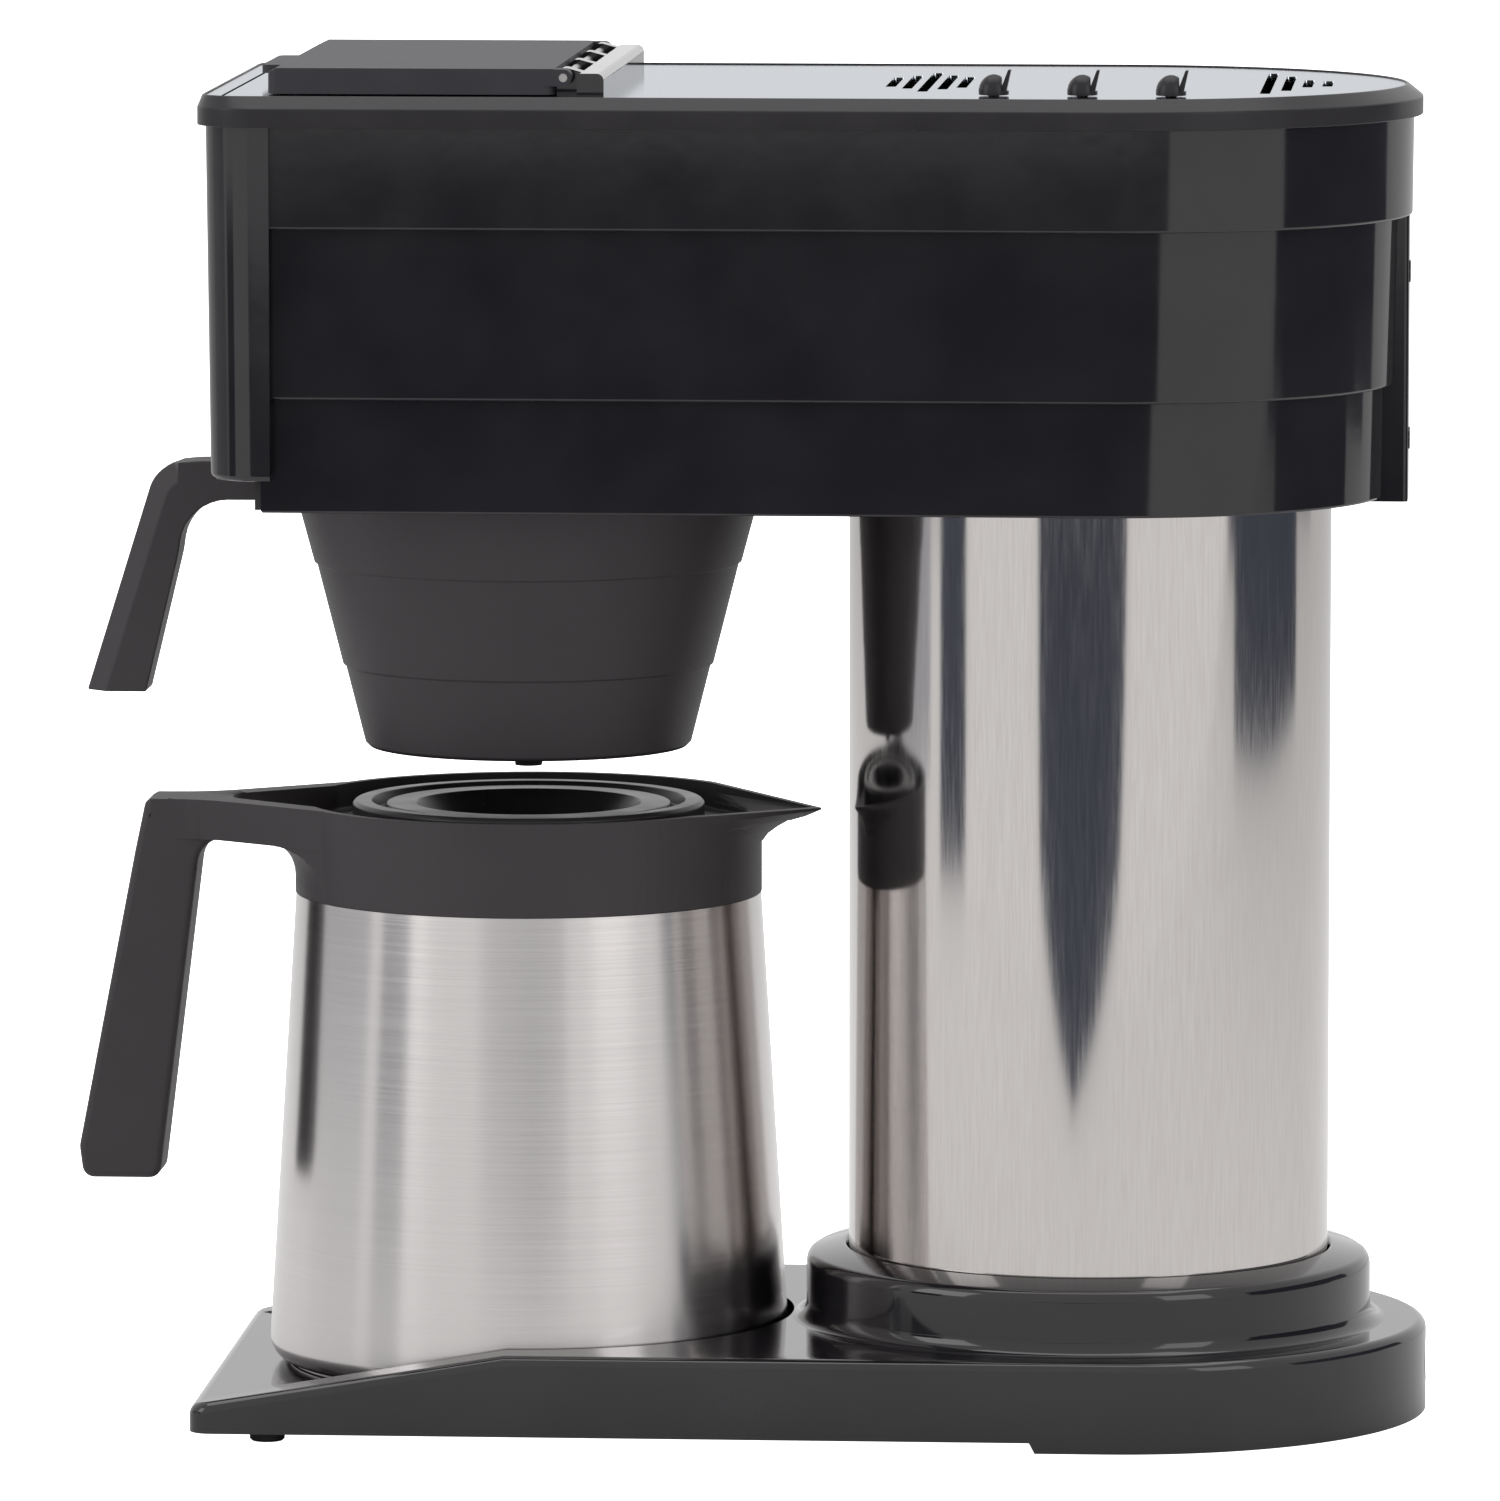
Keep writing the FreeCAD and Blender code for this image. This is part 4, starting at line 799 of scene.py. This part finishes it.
for name, x in zip(("front", "middle", "rear"), KNOB_XS):
    alone(knob)
    bpy.ops.object.duplicate(linked=False)
    copy = bpy.context.object
    copy.name = "knob_moulding_" + name
    copy.location = (x * MM, KNOB_Y * MM, 0)
    bpy.ops.object.transform_apply(location=True, rotation=True, scale=True)
    dress(copy, rim_abs, "knob_" + name, "satin_black", "knob_" + name)
bpy.data.objects.remove(knob)

# Brew funnel: a matte black cone with two small ledges, a drip outlet, a flange that runs in the
# rails and a handle, all one moulding.
# radius and height of the cone's parts
FUNNEL_OUTLET = [(3.2, 185.5), (3.9, 185.5), (4.4, 191.6)]
FUNNEL_OUTSIDE = [(46.0, 191.6), (47.2, 192.8), (52.7, 214.6), (52.7, 215.2), (53.6, 215.5),
                  (60.9, 244.2), (60.9, 244.8), (61.8, 245.1), (67.7, 267.0)]
FUNNEL_FLANGE = [(67.9, 269.4), (75.0, 269.4), (75.0, 272.0), (65.7, 272.0), (65.7, 268.0)]
FUNNEL_INSIDE = [(58.6, 241.4), (58.0, 240.4), (50.7, 213.4), (50.1, 212.4), (45.0, 197.6),
                 (41.2, 195.1), (3.2, 194.1)]
# x from the funnel's axis, height and corner radius of the handle
GRIP = [(-64.5, 271.8, 0), (-94, 274.0, 3), (-107.5, 272.6, 7), (-130.2, 200.0, 0),
        (-112.0, 200.0, 0), (-100.7, 247.0, 2), (-98.6, 262.5, 12), (-66.2, 262.6, 0)]
GRIP_HALF = 8.0
GRIP_CHAMFER = 5.5
GRIP_END = 206.7


def front_edges(lean):
    """In edit mode, selects the edges between a slab's flanks and its faces that look forwards."""
    pick("EDGE", lambda e: len(e.link_faces) == 2
         and min(f.normal.x for f in e.link_faces) < -lean
         and max(abs(f.normal.y) for f in e.link_faces) > SQUARE)


funnel = spun("funnel_moulding", FUNNEL_OUTLET + FUNNEL_OUTSIDE + FUNNEL_FLANGE + FUNNEL_INSIDE,
              CARAFE_X, 180)
grip = plate("grip", [(CARAFE_X + x, z, r) for x, z, r in GRIP], GRIP_HALF)
edit()
front_edges(0.2)
bevel(GRIP_CHAMFER, 1)
bpy.ops.mesh.select_all(action="SELECT")
bpy.ops.mesh.bisect(plane_co=(0, 0, GRIP_END * MM), plane_no=(0, 0, 1), clear_inner=True,
                    use_fill=True)
leave()
soften(grip, 1.0, 3, 28)
fit(funnel, grip, "UNION")
# Hairline cracks, less than a millimetre long, stay open where the grip's chamfer runs out. They
# are closed here.
edit()
pick("EDGE", lambda e: not e.is_manifold)
bpy.ops.mesh.merge(type="COLLAPSE")
weld(0.02)
bpy.ops.mesh.dissolve_degenerate(threshold=0.005 * MM)
leave()
smooth(funnel, 32)
# Polypropylene moulded in a spark-eroded tool: matte dark grey, faintly warm, with an even fine
# grain about 0.7 mm wide and slight flow clouds.
soft_pp = new_finish("textured_grey_polypropylene", {"IOR": 1.49, "Specular IOR Level": 0.35})
tint(soft_pp, noise(soft_pp, 30, 3.0), "#2d292c", "#353134")
grain = noise(soft_pp, 0.7, 2.0)
roughen(soft_pp, grain, 0.46, 0.6)
relief(soft_pp, grain, 0.6, 0.03)
dress(funnel, soft_pp, "funnel", "soft_black", "brew_funnel")

# Carafe body: a double-walled flask. The outer wall is spun stainless with a rounded foot and a
# slight taper; the inner flask keeps its built shape.
# radius and height, up the outside and down the inside
CARAFE_OUTSIDE = [(71.0, 13.3), (72.2, 13.6), (73.3, 14.4), (74.3, 15.6), (75.0, 17.2),
                  (75.4, 19.0), (67.4, 149.0), (46.0, 154.0), (46.0, 158.0)]
CARAFE_INSIDE = [(44.8, 158.0), (44.8, 153.0), (66.2, 148.0), (74.2, 19.0), (73.7, 17.2),
                 (69.8, 14.5)]
shell = spun("carafe_wall", CARAFE_OUTSIDE + CARAFE_INSIDE, CARAFE_X, 256)
smooth(shell)
# Stainless turned against a fine abrasive: the brush lines run round the body, so reflections
# smear up and down into upright bands. The lines are drawn about 0.5 mm apart, coarser than they
# are.
carafe_steel = new_finish("turned_brushed_stainless", {"Metallic": 1.0, "Anisotropic": 0.6,
                                                       "Anisotropic Rotation": 0.25})
brush = strokes(carafe_steel, (80, 80, 0.4))
tint(carafe_steel, brush, "#c3bfbe", "#cbc7c6", 0.25, 0.75)
roughen(carafe_steel, brush, 0.2, 0.24, 0.25, 0.75)
grain_round(carafe_steel)
dress(shell, carafe_steel, "carafe", "carafe_steel", "carafe_shell")
coat(mill_steel, "carafe_liner")

# Carafe collar: a matte grey moulding that clips round the neck, with the open handle in front and
# the pouring spout behind. Its built shape is kept, with a slightly lower top, a flare under the
# handle's root and a sharper corner on the handle.
RING = 67.6
BAR_LOW = 164.3
FLARE_OUT = 9.0
FLARE_HIGH = 10.5
FLARE_ROOT = 1.2
WEB_HALF = 63.7
WEB_TIP_HALF = 9.8
# x, height and corner radius of the handle's sharper corner
HANDLE_CORNER = [(-175.6, 176.98, 2.0), (-178.9, 160, 0), (-168, 160, 0), (-164, 176.98, 0)]
HANDLE_HALF = 9.97
HANDLE_EDGE = 2.3
COLLAR_DROP = 1.2
neck = taken("carafe_collar", "carafe_collar_moulding")
gusset = block("gusset", CARAFE_X - 87, CARAFE_X - 60, -14, 14, 146, BAR_LOW - 0.05)
keep_ring = spun("keep_ring", [(0, 140), (RING, 140), (RING, 170), (0, 170)], CARAFE_X, 180)
fit(gusset, keep_ring, "DIFFERENCE")
fit(neck, gusset, "DIFFERENCE")
flare = spun("flare", [(RING - FLARE_ROOT, BAR_LOW - FLARE_HIGH)]
             + [(RING + FLARE_OUT * (1 - math.cos(a)), BAR_LOW - FLARE_HIGH * (1 - math.sin(a)))
                for a in QUARTER]
             + [(RING + FLARE_OUT, BAR_LOW + 0.6), (RING - FLARE_ROOT, BAR_LOW + 0.6)],
             CARAFE_X, 180)
under_web = block("under_web", CARAFE_X - 94, CARAFE_X - 20, -WEB_HALF, WEB_HALF, 140, 180)
edit()
pick("VERT", lambda v: v.co.x / MM < CARAFE_X - 90)
bpy.ops.transform.resize(value=(1, WEB_TIP_HALF / WEB_HALF, 1))
leave()
fit(flare, under_web, "INTERSECT")
fit(neck, flare, "UNION")
corner = plate("handle_corner", HANDLE_CORNER, HANDLE_HALF)
edit()
front_edges(0.3)
bevel(HANDLE_EDGE, 4)
leave()
fit(neck, corner, "UNION")
edit()
pick("VERT", lambda v: v.co.z / MM > 171)
bpy.ops.transform.translate(value=(0, 0, -COLLAR_DROP * MM))
leave()
smooth(neck, 30)
dress(neck, soft_pp, "carafe", "soft_black", "carafe_collar")

# Carafe lid: a ringed drop-in lid with a dished middle and a brew-through hole, moulded in a
# smoother black plastic than the collar.
STOPPER_TOP = 175.6
# radius and depth below the top, from the rim over the groove and the ring into the dish
STOPPER_RINGS = [(51.0, 1.0), (50.0, 0), (45.5, 0), (44.5, 3.5), (42.0, 3.5), (41.0, 0.8),
                 (32.6, 0.8), (31.0, 4.0), (29.0, 8.0)]
stopper = spun("carafe_lid_moulding", [(9.0, 159.0), (41.0, 155.0), (41.0, 160.0), (51.0, 160.0)]
               + [(r, STOPPER_TOP - depth) for r, depth in STOPPER_RINGS] + [(9.0, 162.5)],
               CARAFE_X, 128)
soften(stopper, 0.4, 3, 25)
dress(stopper, rim_abs, "carafe_lid", "soft_black", "carafe_lid")

# Studio: a white sweep under and behind the machine, soft light from above and both sides, and a
# dark cloth in front and cards at both sides that the metal and the gloss black reflect.
FLOOR_MIDDLE = (0, 5.05, 0)
FLOOR_SIZE = (14, 12, 1)
bpy.ops.object.select_all(action="DESELECT")
bpy.ops.mesh.primitive_plane_add(size=1, location=FLOOR_MIDDLE)
floor = bpy.context.object
floor.name = "studio_floor"
floor.scale = FLOOR_SIZE
bpy.ops.object.transform_apply(location=True, rotation=True, scale=True)
# White paper, lit so that the camera sees it without a shade.
paper = new_finish("white_paper_sweep",
                   {"Base Color": (0.9, 0.9, 0.9, 1), "Roughness": 0.9, "Specular IOR Level": 0.0,
                    "Emission Color": (1, 1, 1, 1)})
ray = add(paper.node_tree, "ShaderNodeLightPath", {}, {})
lift = add(paper.node_tree, "ShaderNodeMath", {"operation": "MULTIPLY", 1: 1.5},
           {0: ray.outputs["Is Camera Ray"]})
feed(paper, "Emission Strength", lift.outputs["Value"])
floor.data.materials.append(paper)

# Dark velvet and light felt, both without a reflection of their own.
velvet = new_finish("slate_velvet", {"Base Color": linear("#4e535f"), "Roughness": 1.0,
                                     "Specular IOR Level": 0.0})
felt = new_finish("grey_felt", {"Base Color": linear("#bfc1c6"), "Roughness": 1.0,
                                "Specular IOR Level": 0.0})


def card(name, corners, cover=velvet):
    """Covered card through corners given in metres, seen only in reflections."""
    piece = drawn(name, [[c / MM for c in corner] for corner in corners])
    bpy.ops.mesh.select_all(action="SELECT")
    bpy.ops.mesh.edge_face_add()
    leave()
    piece.data.materials.append(cover)
    piece.visible_camera = False
    piece.visible_diffuse = False
    piece.visible_shadow = False


# corners in metres: x and y of the cloth on the floor; x, y and z of the left card; y and z of the
# felt card and the right card, which stand square to x
CLOTH = [(0.035, -0.74), (0.48, -1.32), (0.86, -2.2), (1.7, -4.4), (-1.7, -4.4), (-0.78, -2.2),
         (-0.4, -1.32)]
LEFT_CARD = [(-1.22, -0.43, 0), (-1.08, -0.745, 0), (-1.08, -0.745, 0.27), (-1.22, -0.43, 0.27)]
FELT_CARD = [(-0.35, 0), (0.6, 0), (0.6, 0.4), (-0.35, 0.4)]
RIGHT_CARD = [(-0.5, 0), (0.9, 0), (0.9, 0.09), (1.56, 0.05), (1.56, 0.7), (-0.64, 0.7),
              (-0.64, 0.08), (-0.5, 0.08)]
card("front_cloth", [(x, y, 0.001) for x, y in CLOTH])
card("left_card", LEFT_CARD)
card("felt_card", [(-1.6, y, z) for y, z in FELT_CARD], felt)
card("right_card", [(1.85, y, z) for y, z in RIGHT_CARD])

# The room is white where it is seen or reflected, and dimmer as a source of light.
world = bpy.data.worlds.new("studio")
bpy.context.scene.world = world
world.use_nodes = True
tree = world.node_tree
ray = add(tree, "ShaderNodeLightPath", {}, {})
seen = add(tree, "ShaderNodeMath", {"operation": "ADD"},
           {0: ray.outputs["Is Camera Ray"], 1: ray.outputs["Is Glossy Ray"]})
seen = add(tree, "ShaderNodeMath", {"operation": "ADD", "use_clamp": True},
           {0: seen.outputs["Value"], 1: ray.outputs["Is Transmission Ray"]})
level = add(tree, "ShaderNodeMapRange", {"To Min": 0.65, "To Max": 1.0},
            {"Value": seen.outputs["Value"]})
tree.nodes["Background"].inputs["Color"].default_value = (1, 1, 1, 1)
tree.links.new(level.outputs["Result"], tree.nodes["Background"].inputs["Strength"])


def lamp(name, place, turn, width, depth, watts):
    """Rectangular soft box at a place in metres, turned by angles in degrees."""
    light = bpy.data.lights.new(name, "AREA")
    light.shape = "RECTANGLE"
    light.size = width
    light.size_y = depth
    light.energy = watts
    holder = bpy.data.objects.new(name, light)
    bpy.context.scene.collection.objects.link(holder)
    holder.location = place
    holder.rotation_euler = [math.radians(angle) for angle in turn]


lamp("overhead_box", (0.0, 0.1, 2.3), (0, 0, 0), 2.2, 1.6, 22)
lamp("left_box", (-2.2, -1.3, 1.2), (72, 0, -60), 1.2, 1.6, 14)
lamp("right_box", (1.9, -1.9, 1.2), (72, 0, 45), 1.0, 1.6, 9)

# The camera stands far off with a long lens, a little above the machine and nearly square to it.
CAMERA_PLACE = (0.24558, -3.57477, 0.59528)
CAMERA_DIP = 0.1126
CAMERA_TURN = 0.0688
CAMERA_LENS = 299.1
camera = bpy.data.objects.new("camera", bpy.data.cameras.new("camera"))
bpy.context.scene.collection.objects.link(camera)
camera.location = CAMERA_PLACE
camera.rotation_euler = (math.pi / 2 - CAMERA_DIP, 0, CAMERA_TURN)
camera.data.lens = CAMERA_LENS
camera.data.sensor_width = 36
bpy.context.scene.camera = camera
bpy.context.scene.view_settings.view_transform = "Standard"
